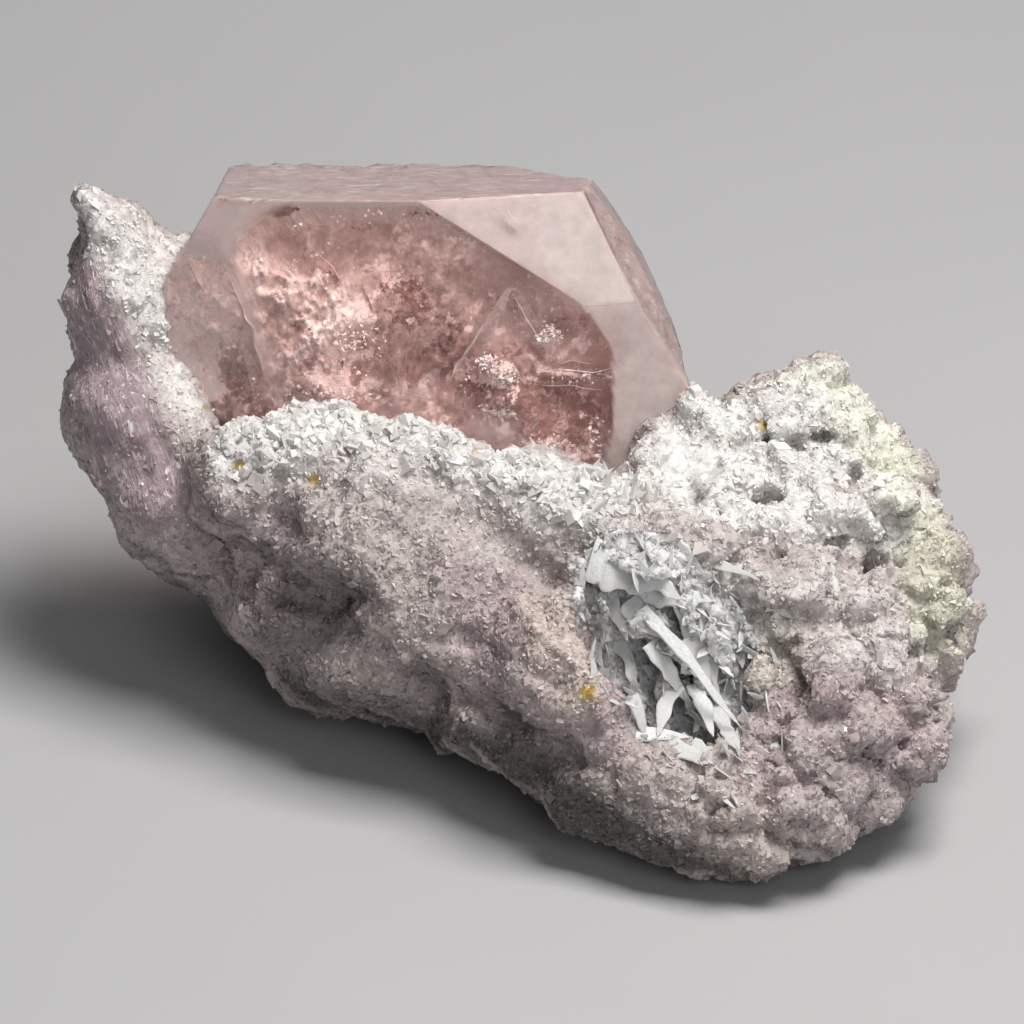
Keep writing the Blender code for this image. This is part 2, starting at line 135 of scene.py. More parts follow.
class GrainSettings(bpy.types.PropertyGroup):
    grains: count_setting(
        "Albite grains", 36000, "Number of small crystals, blocks and double pyramids")
    grain_size: length_setting("Grain size", 0.38e-3, "Middle size of a small crystal")
    blocks: count_setting(
        "Albite blocks", 1700, "Number of larger crystals, mostly on the crest")
    block_size: length_setting("Block size", 0.46e-3, "Middle size of a larger crystal")
    flakes: count_setting("Mica flakes", 2400, "Number of thin glinting flakes")
    flake_size: length_setting("Flake size", 0.38e-3, "Middle width of a flake")
    laths: count_setting(
        "Mica laths", 260, "Number of long thin flakes on the left wing")


class CrystalSettings(bpy.types.PropertyGroup):
    edge: length_setting("Edge softness", 0.12e-3, "How far an edge is rounded off")
    spacing: length_setting(
        "Spacing", 0.55e-3, "Distance between the points along a facet's rim")
    tint: colour_setting("Body tint", (0.76, 0.46, 0.42), "What the body lets through")
    frosted: colour_setting(
        "Frosted faces", (0.56, 0.425, 0.412), "Colour of the frosted faces")
    # On the bright facet this pale colour is a painted highlight in place of the soft light's
    # reflection
    bright: colour_setting(
        "Bright faces", (0.58, 0.495, 0.475), "Colour of the palest faces")
    veil: colour_setting("Veils", (0.95, 0.78, 0.75), "Colour of the veils inside")
    salmon: colour_setting("Salmon", (0.82, 0.585, 0.54), "Colour between the veils")
    depth: colour_setting(
        "Deep patches", (0.32, 0.175, 0.155), "Colour of the dark patches inside")


class BladeSettings(bpy.types.PropertyGroup):
    thickness: length_setting("Thickness", 0.42e-3, "Thickness of a blade at its root")
    small_blades: count_setting(
        "Small blades", 330, "Number of small blades in the hollow")
    grains: count_setting("Grains", 2600, "Number of small crystals on the crust")
    colour: colour_setting("Colour", (0.72, 0.75, 0.725), "Colour of the blades")


class StageSettings(bpy.types.PropertyGroup):
    distance: length_setting(
        "Camera distance", 5.0, "From the camera to the display middle")
    floor: colour_setting("Floor", (0.48, 0.48, 0.485), "Colour of the floor")
    key: plain_setting("Key light", 6.9, "Power of the main soft light in watts")
    fill: plain_setting("Fill light", 1.3, "Power of the second light in watts")
    sky: plain_setting("Surroundings", 0.10, "Brightness all round")


def to_display(points):
    """Display millimetres from row metres: from the middle, along the three axes."""
    return (points / MM - MIDDLE) @ AXES.T


def to_row(display):
    """Row metres from display millimetres: the way back of to_display."""
    return (display @ AXES + MIDDLE) * MM


def seen(line):
    """Right and up in display millimetres of a line of picture pixels."""
    pixels = np.array(line, float)
    return (pixels - MIDDLE_PIXEL) * (1.0, -1.0) / PIXELS_PER_MM


def ease(share):
    """3s² - 2s³, which rises from 0 to 1 with no slope at its ends."""
    return share * share * (3.0 - 2.0 * share)


def smooth(value, low, high):
    """0 below low, 1 above high, eased between them."""
    return ease(np.clip((value - low) / (high - low), 0.0, 1.0))


def bell(away):
    """exp(-q²), which falls from 1 as the distance q grows."""
    return np.exp(-away ** 2)


def unit(vectors):
    """Each vector divided by its own length."""
    return vectors / np.linalg.norm(vectors, axis=-1, keepdims=True)


def line_distance(flat, line, closed=False):
    """The distance from each point to the nearest place on a line of segments."""
    corners = np.array(line, float)
    follow = np.roll(corners, -1, axis=0)
    nearest = np.full(len(flat), np.inf)
    for start, end in zip(corners if closed else corners[:-1], follow):
        way = end - start
        share = np.clip((flat - start) @ way / (way @ way), 0.0, 1.0)
        away = np.hypot(*(flat - start - share[:, None] * way).T)
        nearest = np.minimum(nearest, away)
    return nearest


def zone(flat, outline, soft):
    """1 inside an outline of pixels and 0 outside, blended over soft millimetres. A point
    is inside where a ray to the right crosses the outline an odd number of times."""
    corners = seen(outline)
    follow = np.roll(corners, -1, axis=0)
    odd = np.zeros(len(flat), bool)
    for (x0, y0), (x1, y1) in zip(corners, follow):
        if y0 != y1:
            spans = (y0 > flat[:, 1]) != (y1 > flat[:, 1])
            crossing = x0 + (flat[:, 1] - y0) * (x1 - x0) / (y1 - y0)
            odd ^= spans & (flat[:, 0] < crossing)
    away = line_distance(flat, corners, closed=True)
    return smooth(np.where(odd, away, -away), -soft, soft)


def cell_random(cells, salt):
    """A number from 0 to 1 for each cell: its three counts times large primes, mixed by
    shifts, so that one cell always gives the same number."""
    whole = cells.astype(np.int64).astype(np.uint64)
    primes = np.array((73856093, 19349663, 83492791), np.uint64)
    parts = whole * primes
    mixed = parts[..., 0] ^ parts[..., 1] ^ parts[..., 2] ^ np.uint64(salt * 7919 + 17)
    mixed = (mixed ^ (mixed >> np.uint64(15))) * np.uint64(2246822519)
    mixed = (mixed ^ (mixed >> np.uint64(29))) * np.uint64(3266489917)
    mixed = mixed ^ (mixed >> np.uint64(32))
    return (mixed & np.uint64(0xFFFFFF)).astype(float) / 0xFFFFFF


def waves(points, size, salt):
    """Smooth noise from -1 to 1: random numbers at the corners of cells of that size,
    eased across each cell."""
    place = points / size
    cell = np.floor(place)
    share = ease(place - cell)
    total = np.zeros(len(points))
    for corner in np.ndindex(2, 2, 2):
        weight = np.prod(np.where(corner, share, 1.0 - share), axis=-1)
        total += weight * cell_random(cell + corner, salt)
    return total * 2.0 - 1.0


def lumps(points, size, salt):
    """Rounded lumps with creases between them, from 0 to about 1: smooth noise without
    its sign at three sizes, read in places that are moved by more noise."""
    bend = np.column_stack([waves(points, size, salt + k) for k in range(3)])
    moved = points + 0.3 * size * bend
    total = np.abs(waves(moved, size, salt + 3))
    total += 0.5 * np.abs(waves(moved, 0.5 * size, salt + 4))
    return total + 0.25 * np.abs(waves(moved, 0.25 * size, salt + 5))


def grit(points, size, salt):
    """Cellular noise, one random seed in each cell of that size: the distance to the
    nearest seed in cells, that seed's own random number, and a random slope across its
    cell."""
    place = points / size
    cell = np.floor(place)
    near = np.full(len(points), 9.0)
    own = np.zeros(len(points))
    tilt = np.zeros(len(points))
    for neighbour in np.ndindex(3, 3, 3):
        other = cell + np.array(neighbour) - 1.0
        seed = np.stack([cell_random(other, salt + k) for k in range(3)], axis=-1)
        offset = place - other - seed
        away = np.linalg.norm(offset, axis=-1)
        lean = np.sum(offset * (seed[:, ::-1] - 0.5), axis=-1)
        closer = away < near
        own = np.where(closer, seed[:, 0], own)
        tilt = np.where(closer, lean, tilt)
        near = np.where(closer, away, near)
    return near, own, tilt


def read_rows(items, name, kind=float):
    """Three numbers from each item."""
    values = np.empty(len(items) * 3, kind)
    items.foreach_get(name, values)
    return values.reshape(-1, 3)


def read_points(mesh):
    return read_rows(mesh.vertices, "co")


def read_normals(mesh):
    return read_rows(mesh.vertex_normals, "vector")


def write_points(mesh, points):
    mesh.vertices.foreach_set("co", points.ravel())
    mesh.update()


def write_attributes(mesh, **named):
    """Under each name, one number for each point of the mesh."""
    for name, values in named.items():
        made = mesh.attributes.new(name, "FLOAT", "POINT")
        made.data.foreach_set("value", np.asarray(values, np.float32))


def read_attribute(mesh, name):
    values = np.empty(len(mesh.vertices), np.float32)
    mesh.attributes[name].data.foreach_get("value", values)
    return values


def new_mesh(name, points, faces):
    """A mesh from an array of points in row metres and an array of faces, all with the
    same number of corners."""
    faces = np.asarray(faces, np.int32)
    mesh = bpy.data.meshes.new(name)
    mesh.vertices.add(len(points))
    mesh.vertices.foreach_set("co", np.asarray(points, np.float32).ravel())
    mesh.loops.add(faces.size)
    mesh.loops.foreach_set("vertex_index", faces.ravel())
    mesh.polygons.add(len(faces))
    mesh.polygons.foreach_set("loop_start", np.arange(0, faces.size, faces.shape[1]))
    mesh.update(calc_edges=True)
    mesh.validate()
    mesh.shade_flat()
    return mesh


def joined(parts):
    """Several arrays of points, each with its array of faces, as one of each."""
    points, faces = zip(*parts)
    starts = np.cumsum([0] + [len(rows) for rows in points[:-1]])
    return np.vstack(points), np.vstack([f + start for f, start in zip(faces, starts)])


def grid_quads(index):
    """The quads between the numbered points of a grid."""
    corners = index[:-1, :-1], index[:-1, 1:], index[1:, 1:], index[1:, :-1]
    return np.stack(corners, axis=-1).reshape(-1, 4)


def new_object(name, data):
    made = bpy.data.objects.new(name, data)
    bpy.context.scene.collection.objects.link(made)
    return made


def new_piece(name, mesh, material, replaced=None):
    """An object of the specimen that rides on its one body."""
    piece = new_object(name, mesh)
    mesh.materials.clear()
    mesh.materials.append(material)
    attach(piece, "root")
    if replaced:
        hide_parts(replaced)


def merged_copy(source, name, apart):
    """A copy of a mesh whose points nearer than apart, in metres, are one."""
    bm = bmesh.new()
    bm.from_mesh(source)
    bmesh.ops.remove_doubles(bm, verts=bm.verts[:], dist=apart)
    mesh = bpy.data.meshes.new(name)
    bm.to_mesh(mesh)
    bm.free()
    return mesh


def fine_skin(node, name, spacing, soften):
    """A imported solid's skin made anew from a fine lattice and smoothed in steps."""
    work = new_object("work", merged_copy(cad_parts[node].data, name, 1e-7))
    skin = work.modifiers.new("skin", "REMESH")
    skin.mode = "VOXEL"
    skin.voxel_size = spacing
    relax = work.modifiers.new("relax", "SMOOTH")
    relax.factor = 0.5
    relax.iterations = soften
    graph = bpy.context.evaluated_depsgraph_get()
    fine = bpy.data.meshes.new_from_object(work.evaluated_get(graph), depsgraph=graph)
    bpy.data.objects.remove(work)
    return fine


class Value:
    """A shader socket that takes part in sums: each one adds its Math node."""

    def __init__(self, recipe, socket):
        self.recipe = recipe
        self.socket = socket

    def math(self, operation, first, second=0.0):
        return self.recipe.node("Math", {"operation": operation}, {0: first, 1: second})

    def __add__(self, other):
        return self.math("ADD", self, other)

    def __radd__(self, other):
        return self.math("ADD", other, self)

    def __sub__(self, other):
        return self.math("SUBTRACT", self, other)

    def __rsub__(self, other):
        return self.math("SUBTRACT", other, self)

    def __mul__(self, other):
        return self.math("MULTIPLY", self, other)

    def __pow__(self, other):
        return self.math("POWER", self, other)

    def between(self, low, high):
        """0 below low, 1 above high, smooth between."""
        settings = {"interpolation_type": "SMOOTHSTEP"}
        return self.recipe.node("MapRange", settings, {0: self, 1: low, 2: high})


class Recipe:
    """One material, whose nodes are added one call at a time."""

    def __init__(self, name):
        self.material = bpy.data.materials.new(name)
        self.material.use_nodes = True
        self.tree = self.material.node_tree
        self.tree.nodes.clear()
        self.kept = {}
        self.place = self.node("TexCoord", output="Object")
        self.normal = self.node("NewGeometry", output="Normal")

    def node(self, kind, settings=None, sockets=None, output=0):
        """A node of a kind: its settings are set first, then its sockets' values or
        links. Gives the named output."""
        made = self.tree.nodes.new("ShaderNode" + kind)
        for key, value in (settings or {}).items():
            setattr(made, key, value)
        for key, value in (sockets or {}).items():
            if isinstance(value, Value):
                self.tree.links.new(value.socket, made.inputs[key])
            else:
                made.inputs[key].default_value = value
        return Value(self, made.outputs[output])

    def attribute(self, name):
        return self.node("Attribute", {"attribute_name": name}, output="Fac")

    def noise(self, size, detail=3.0, rough=0.55, warp=0.0, place=None):
        """Noise from 0 to 1 whose lumps are about size millimetres across."""
        sockets = {"Vector": place or self.place, "Scale": 1.0 / (size * MM),
                   "Detail": detail, "Roughness": rough, "Distortion": warp}
        return self.node("TexNoise", {}, sockets, "Fac")

    def cells(self, size, output="Distance"):
        """Random cells about size millimetres across; each size is one node."""
        if size not in self.kept:
            sockets = {"Vector": self.place, "Scale": 1.0 / (size * MM)}
            self.kept[size] = self.node("TexVoronoi", {}, sockets).socket.node
        return Value(self, self.kept[size].outputs[output])

    def stretched(self, turn, scale):
        """The object's place along turned axes, divided by a scale: a pattern read there
        is drawn out along the axes whose scale is large."""
        sockets = {"Vector": self.place, "Rotation": turn, "Scale": scale}
        return self.node("Mapping", {"vector_type": "TEXTURE"}, sockets)

    def mix(self, first, second, share):
        """A colour share of the way from the first to the second."""
        def colour(value):
            return value if isinstance(value, Value) else (*value, 1.0)
        sockets = {0: share, 6: colour(first), 7: colour(second)}
        return self.node("Mix", {"data_type": "RGBA"}, sockets, 2)

    def layers(self, colour, *rows):
        """A colour with others laid over it in turn, each by its own share."""
        for over, share in rows:
            colour = self.mix(colour, over, share)
        return colour

    def vector(self, operation, sockets):
        return self.node("VectorMath", {"operation": operation}, sockets)

    def brighten(self, colour, amount):
        """A colour times one number."""
        return self.vector("SCALE", {0: colour, 3: amount})

    def tilted(self, size, amount, normal=None):
        """A normal leaned a random way on each cell of that size."""
        cell = {0: self.cells(size, "Color"), 1: (0.5, 0.5, 0.5)}
        lean = self.brighten(self.vector("SUBTRACT", cell), amount)
        total = self.vector("ADD", {0: normal or self.normal, 1: lean})
        return self.vector("NORMALIZE", {0: total})

    def bump(self, height, depth, normal=None):
        """The normal of a height from 0 to 1 that stands for depth millimetres."""
        sockets = {"Height": height, "Distance": depth * MM, "Strength": 1.0}
        if normal:
            sockets["Normal"] = normal
        return self.node("Bump", {}, sockets)

    def surface(self, colour, rough, **sockets):
        """A Principled surface; a socket's name has _ where the real one has a space."""
        named = {key.replace("_", " "): value for key, value in sockets.items()}
        if not isinstance(colour, Value):
            colour = (*colour, 1.0)
        named.update({"Base Color": colour, "Roughness": rough})
        return self.node("BsdfPrincipled", {}, named)

    def blend(self, first, second, share):
        return self.node("MixShader", {}, {0: share, 1: first, 2: second})

    def finish(self, surface, volume=None):
        made = self.tree.nodes.new("ShaderNodeOutputMaterial")
        for key, value in (("Surface", surface), ("Volume", volume)):
            if value:
                self.tree.links.new(value.socket, made.inputs[key])
        return self.material


# Zones of the rock's front, as outlines in picture pixels with a strength
WHITE_ZONES = (
    (((205, 430), (245, 415), (280, 408), (320, 392), (345, 398), (400, 400), (450, 425),
      (520, 440), (575, 462), (640, 470), (650, 520), (560, 515), (480, 482), (400, 458),
      (330, 450), (270, 470), (215, 475)), 1.0),
    (((70, 180), (110, 185), (150, 210), (200, 215), (215, 300), (225, 420), (200, 440),
      (165, 400), (130, 330), (100, 270), (68, 240)), 0.72),
    (((640, 450), (700, 395), (750, 380), (800, 365), (850, 390), (900, 450), (935, 510),
      (900, 560), (800, 545), (700, 530), (650, 510)), 1.0),
    (((555, 520), (600, 500), (700, 540), (760, 560), (750, 620), (690, 560), (600, 560),
      (580, 600)), 0.5),
    (((212, 455), (330, 440), (450, 448), (560, 490), (640, 520), (590, 552), (520, 530),
      (430, 500), (330, 488), (225, 500)), 0.5),
    (((240, 480), (330, 478), (440, 496), (540, 535), (575, 600), (520, 590), (440, 560),
      (360, 530), (260, 520)), 0.26),
    (((740, 560), (850, 560), (930, 620), (940, 700), (880, 700), (800, 650), (740, 640)),
     0.35),
)
LAVENDER_ZONES = (
    (((60, 250), (95, 262), (125, 330), (160, 415), (190, 500), (160, 545), (110, 505),
      (75, 430), (55, 330)), 1.0),
    (((150, 500), (230, 490), (300, 480), (330, 560), (290, 640), (230, 620), (180, 570)),
     0.5),
    (((430, 560), (520, 560), (600, 640), (635, 700), (630, 770), (560, 750), (470, 700)),
     0.5),
    (((740, 700), (830, 650), (930, 660), (950, 740), (900, 810), (820, 840), (750, 800)),
     0.45),
)
GREEN_ZONES = (
    (((785, 368), (850, 380), (905, 445), (945, 520), (968, 600), (955, 665), (905, 640),
      (895, 560), (880, 490), (830, 425)), 0.85),
    (((735, 620), (800, 625), (805, 700), (745, 690)), 0.35),
)
# Painted shade: dark zones under the bulge and in the recess below its ridge, where shade falls
SHADE_BELOW_ZONES = (
    (((225, 640), (300, 672), (430, 712), (520, 735), (600, 785), (680, 832), (760, 880),
      (690, 890), (600, 870), (480, 810), (400, 760), (290, 725)), 1.0),
    (((290, 556), (375, 560), (355, 625), (290, 675), (240, 640)), 0.6),
)
STAIN_ZONES = (
    (((520, 598), (560, 605), (592, 650), (604, 705), (570, 720), (535, 680)), 0.75),
    (((690, 800), (760, 790), (800, 830), (740, 870), (700, 850)), 0.3),
)
RIGHT_MASS = ((640, 430), (720, 380), (860, 360), (990, 500), (990, 700), (900, 860),
              (760, 900), (700, 830), (700, 760), (760, 720), (740, 600), (690, 540),
              (620, 520))
WING_BAND = ((60, 250), (100, 262), (135, 335), (170, 415), (200, 500), (160, 545),
             (110, 505), (70, 430), (50, 330))
LEDGE = ((655, 452), (690, 436), (725, 450), (722, 482), (680, 488), (655, 475))
SPIKE_ZONE = ((570, 478), (600, 468), (640, 478), (655, 500), (640, 520), (590, 505))

# The wing's streaks run down and a little to the right: display directions across and
# along them, and the turn of the first axis to their way
WING_ACROSS = (0.931, 0.364, 0.0)
WING_ALONG = (0.364, -0.931, 0.0)
WING_TURN = (0.0, radians(55.7), radians(-57.7))

# Lines pressed in or raised on the rock: pixels, then half width and height in mm
ROCK_LINES = (
    (((272, 440), (278, 480), (276, 520), (262, 560), (245, 600)), 0.8, -1.0),
    (((405, 650), (440, 690), (500, 715), (560, 750), (610, 775)), 1.2, -1.6),
    (((522, 612), (545, 640), (575, 665), (600, 700), (607, 735)), 1.2, 1.5),
    (((150, 420), (185, 480), (215, 540)), 1.6, -0.8),
    (((455, 470), (520, 520), (560, 560)), 2.4, 0.6),
    (((258, 532), (300, 552), (362, 574)), 1.3, 1.1),
    (((470, 640), (520, 664), (560, 690)), 1.6, -1.0),
    (((390, 520), (420, 560), (425, 600)), 1.4, -0.7),
    (((620, 800), (690, 822), (760, 835)), 1.3, -0.9),
    (((840, 470), (880, 530), (905, 600)), 1.0, -0.9),
)

# Dents seen from the front: pixel, radii in mm across and up, then depth
ROCK_DENTS = (
    ((220, 570), 1.8, 3.6, 1.6), ((300, 604), 6.0, 2.0, 2.2), ((350, 596), 2.6, 2.0, 1.2),
    ((820, 437), 2.0, 0.8, 3.2), ((855, 480), 0.9, 1.5, 2.6), ((770, 500), 2.2, 1.3, 2.2),
    ((870, 562), 1.6, 1.4, 2.6), ((832, 541), 1.7, 1.2, 2.2), ((850, 750), 0.9, 0.8, 2.2),
    ((860, 738), 0.7, 0.7, 1.8), ((876, 758), 0.7, 1.0, 2.0), ((857, 800), 0.8, 0.8, 1.8),
    ((800, 640), 1.4, 1.2, 1.6), ((770, 668), 1.2, 1.4, 1.6), ((905, 655), 1.0, 1.2, 1.6),
    ((740, 790), 1.4, 1.0, 1.4), ((455, 640), 3.0, 2.2, 1.0), ((135, 470), 2.4, 4.0, 0.8),
    ((700, 505), 1.8, 1.0, 1.6), ((735, 560), 1.4, 0.9, 1.6), ((250, 470), 1.6, 2.0, 0.7),
)

# Yellow grains and the one black grain on the rock: pixel and radius in mm
YELLOW_SPOTS = (
    ((239, 467), 1.0), ((316, 480), 1.0), ((476, 460), 0.8), ((585, 693), 1.1),
    ((762, 427), 1.0), ((205, 405), 0.5),
)
BLACK_SPOT = ((239, 445), 0.32)


def zone_sum(flat, zones, soft):
    """The largest of several zones, each times its strength."""
    total = np.zeros(len(flat))
    for outline, strength in zones:
        total = np.maximum(total, zone(flat, outline, soft) * strength)
    return total


def spot(place, flat, pixel, radius, ragged=0.0):
    """1 on a round spot of a radius in mm round a pixel, 0 outside, its rim ragged."""
    away = np.hypot(*(flat - seen([pixel])).T) + ragged * waves(place, 0.7, 95)
    return 1.0 - smooth(away, 0.5 * radius, radius)


def crystal_faces():
    """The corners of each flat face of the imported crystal, in row millimetres."""
    bm = bmesh.new()
    bm.from_mesh(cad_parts[CRYSTAL_NODE].data)
    bmesh.ops.remove_doubles(bm, verts=bm.verts[:], dist=1e-6)
    bmesh.ops.dissolve_limit(
        bm, angle_limit=radians(0.3), verts=bm.verts[:], edges=bm.edges[:])
    faces = [np.array([corner.co[:] for corner in face.verts]) / MM for face in bm.faces]
    bm.free()
    return faces


def crystal_planes():
    """The crystal's face planes: the unit normal of each, by the sum of the cross
    products of its neighbouring corners, and its distance from the origin."""
    normals = []
    reach = []
    for corners in crystal_faces():
        middle = corners.mean(axis=0)
        around = corners - middle
        normal = unit(np.cross(around, np.roll(around, -1, axis=0)).sum(axis=0))
        normals.append(normal)
        reach.append(normal @ middle)
    return np.array(normals), np.array(reach)


def crystal_gap(points):
    """How far each point in row millimetres is outside the crystal, less than 0 inside:
    the largest of its distances in front of the face planes."""
    normals, reach = crystal_planes()
    return np.max(points @ normals.T - reach, axis=1)


def rock_height(place, flat, parts, settings):
    """The height of the rock's knobs, grains, pits, lines and dents over its packed skin
    in mm, and how deep each place lies in a dent or a pit, which sets the painted shade
    there."""
    front, right, band, ledge, crest = parts
    calm = 1.0 - np.maximum(0.8 * band, 0.85 * ledge)
    height = 0.6 * waves(place, 7.0, 1) + 0.45 * waves(place, 3.2, 2)
    height *= 1.0 - 0.6 * band
    knobs = lumps(place, 6.5, 20) - 0.42
    small = lumps(place, 3.0, 30) - 0.42
    share = (0.16 + 0.84 * right) * calm
    height += settings.knob_height / MM * share * (0.75 * knobs + 0.3 * small)
    large = 0.6 - grit(place + 0.8 * small[:, None], 5.2, 33)[0] ** 2
    middle = 0.5 - grit(place, 2.4, 35)[0] ** 2
    height += calm * (2.0 * right * large + (0.4 + 0.6 * np.maximum(right, crest)) * middle)
    height += 1.6 * crest * (lumps(place, 4.2, 36) - 0.38)
    hole = smooth(waves(place, 3.2, 40) + 0.5 * waves(place, 1.5, 41), 0.50, 0.85)
    height -= settings.pit_depth / MM * hole * (0.06 + 0.94 * right) * calm
    for line, half_width, rise in ROCK_LINES:
        away = line_distance(flat, seen(line)) + 0.5 * waves(place, 2.5, 50)
        height += rise * bell(away / half_width) * front
    dents = np.zeros(len(place))
    for pixel, radius_right, radius_up, depth in ROCK_DENTS:
        offset = (flat - seen([pixel])) / (radius_right, radius_up)
        away = np.hypot(*offset.T) + 0.35 * waves(place, 1.8, 60)
        dents += depth * (1.0 - smooth(away, 0.45, 1.1)) * front
    height += 0.8 * ledge - dents
    most = 2.6 - 1.2 * smooth(-place[:, 2], -9.0, -3.0)
    return np.minimum(height, most), dents + 2.0 * hole * right


def shape_rock(mesh, settings):
    """Moves the rock's skin in two passes along its normals: first its knobs, pits,
    lines and dents, then its fine grains. Where it meets the crystal it is pressed
    against it, and its foot stays flat. Keeps the zones as attributes for the colours,
    and with them painted shade below and in dents and pits and a painted highlight on
    the raised tips."""
    points = read_points(mesh)
    normals = read_normals(mesh)
    place = points / MM
    display = to_display(points)
    flat = display[:, :2]
    front = smooth(normals @ AXES[2], -0.05, 0.45)
    right = np.maximum(zone(flat, RIGHT_MASS, 1.5) * front,
                       smooth(place[:, 0], 18.0, 30.0) * (1.0 - front))
    band = zone(flat, WING_BAND, 1.6) * front
    ledge = zone(flat, LEDGE, 0.8) * front
    crest = zone_sum(flat, WHITE_ZONES[:1], 1.4) * front
    white = zone_sum(flat, WHITE_ZONES, 2.2) * front
    height, hollow = rock_height(place, flat, (front, right, band, ledge, crest), settings)
    touching = 1.0 - smooth(crystal_gap(place), 0.5, 1.4)
    height = height * (1.0 - touching) + 0.75 * touching
    height *= smooth(place[:, 2], 0.3, 2.5)
    write_points(mesh, points + normals * height[:, None] * MM)

    normals = read_normals(mesh)
    place = read_points(mesh) / MM
    near, own, tilt = grit(place, 1.7, 70)
    coarse = 0.35 * (0.5 - near) * own + 1.1 * tilt
    sugar = waves(place, 1.5, 80) + 0.6 * waves(place, 0.9, 81)
    drawn_out = (display @ WING_ACROSS / 0.9, display @ WING_ALONG / 7.0, display[:, 2] / 4.0)
    streaks = waves(np.column_stack(drawn_out), 1.0, 90)
    rough = settings.grain_height / MM * (1.0 - 0.7 * np.maximum(band, ledge))
    rough *= 1.0 - 0.3 * white
    detail = rough * (coarse * (0.7 + 0.6 * crest + 0.4 * right) + 0.55 * sugar)
    detail += 0.3 * band * streaks
    detail *= smooth(place[:, 2], 0.2, 1.2) * (1.0 - 0.5 * touching)
    moved = place + normals * detail[:, None]
    moved[:, 2] = np.maximum(moved[:, 2], 0.0)
    write_points(mesh, moved * MM)

    # Painted shade: faces that point down take the dark colour of the shade below
    under = 0.6 * smooth(-normals[:, 2], 0.15, 0.7)
    calm = np.maximum.reduce((0.6 * crest, 0.5 * white, 0.7 * band, 0.7 * ledge))
    yellow = np.maximum.reduce([spot(place, flat, *row, 0.25) for row in YELLOW_SPOTS])
    # Painted shade below and in dents and pits, and a painted highlight on the raised tips, are
    # kept here with the zones
    write_attributes(
        mesh, front=front, band=band, white=white, sugar=1.0 - calm,
        lavender=zone_sum(flat, LAVENDER_ZONES, 2.4) * front,
        green=zone_sum(flat, GREEN_ZONES, 2.0) * front,
        grey=np.maximum(zone_sum(flat, SHADE_BELOW_ZONES, 2.4) * front, under),
        stain=zone_sum(flat, STAIN_ZONES, 1.6) * front,
        hollow=smooth(hollow, 0.3, 2.4), tip=smooth(height + coarse, 0.5, 1.8),
        yellow=yellow * front, black=spot(place, flat, *BLACK_SPOT) * front)


# Colours of the painted shade in the rock's dents and pits, of its one black grain and of
# the painted glints on the mica's streaks
SHADED_ROCK = (0.45, 0.37, 0.37)
BLACK_GRAIN = (0.02, 0.02, 0.02)
PAINTED_MICA_GLINT = (0.86, 0.82, 0.84)


def rock_colour(recipe, settings, fine):
    """The rock's colour: lavender, middling and white by zone and by patchy noise, whiter on
    the raised tips as a painted highlight, then the green rim, painted shade under the bulge
    and on faces that point down, the stain, painted shade in the dents and pits, and the
    few yellow and black grains."""
    patch = recipe.noise(8.0, 4.0, 0.62)
    white = recipe.attribute("white") + (patch - 0.5) * 1.1 + (fine - 0.5) * 0.5
    # Painted highlight: the raised tips are made whiter
    white = white + recipe.attribute("tip") * 0.25
    lavender = recipe.attribute("lavender") + (0.5 - patch) * 0.9 + (fine - 0.5) * 0.4
    green = recipe.attribute("green") * patch.between(0.3, 0.5)
    stain = recipe.attribute("stain") * fine.between(0.3, 0.65)
    return recipe.layers(
        settings.middling, (settings.lavender, lavender.between(0.1, 0.9)),
        (settings.white, white.between(0.1, 0.95)), (settings.green, green * 0.7),
        # painted shade under the bulge, in the recess below its ridge and on faces that point
        # down
        (settings.grey, recipe.attribute("grey") * 0.95), (settings.stain, stain * 0.8),
        # painted shade in the dents and pits
        (SHADED_ROCK, recipe.attribute("hollow") * 0.35),
        (settings.yellow, recipe.attribute("yellow")),
        (BLACK_GRAIN, recipe.attribute("black")))


def rock_material(settings):
    """Fine mica and albite: soft and slightly see-through, with glinting cells and painted
    glints along the wing's streaks.
    """
    recipe = Recipe("mica_and_albite")
    fine = recipe.noise(1.3, 3.0, 0.65)
    tones = recipe.node("SeparateColor", {}, {0: recipe.cells(0.7, "Color")}).socket.node
    tone = Value(recipe, tones.outputs[0])
    glint = Value(recipe, tones.outputs[1]).between(0.84, 0.92)
    colour = rock_colour(recipe, settings, fine)
    colour = recipe.brighten(colour, tone * 0.3 + fine * 0.3 + 0.72)
    sugar = recipe.attribute("sugar")
    normal = recipe.tilted(0.7, sugar * 0.9 + 0.1)
    normal = recipe.tilted(0.36, sugar * 0.5, normal)
    along = recipe.stretched(WING_TURN, (9.0, 1.0, 1.0))
    streak = recipe.noise(0.4, 3.0, 0.7, place=along)
    band = recipe.attribute("band")
    height = recipe.noise(0.9, 4.0, 0.7) * (sugar * 0.8 + 0.3) + streak * band * 1.4
    normal = recipe.bump(height, 0.3, normal)
    # Painted glint: near-white colour along the wing's streaks, with a little lower roughness
    painted_glint = streak.between(0.55, 0.59) * band * tone.between(0.5, 0.7)
    colour = recipe.mix(colour, PAINTED_MICA_GLINT, painted_glint * 0.8)
    return recipe.finish(recipe.surface(
        colour, 0.62 - glint * 0.45 - painted_glint * 0.25, Normal=normal,
        Subsurface_Weight=0.4, Subsurface_Radius=(1.0, 0.95, 0.95),
        Subsurface_Scale=2.0 * MM, Specular_IOR_Level=0.7))


def build_rock(settings):
    """The matrix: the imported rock's skin made fine, shaped and coloured."""
    mesh = fine_skin(ROCK_NODE, "rock_base", settings.spacing, 4)
    shape_rock(mesh, settings)
    mesh.shade_smooth()
    new_piece("matrix_rock", mesh, rock_material(settings), ROCK_NODE)


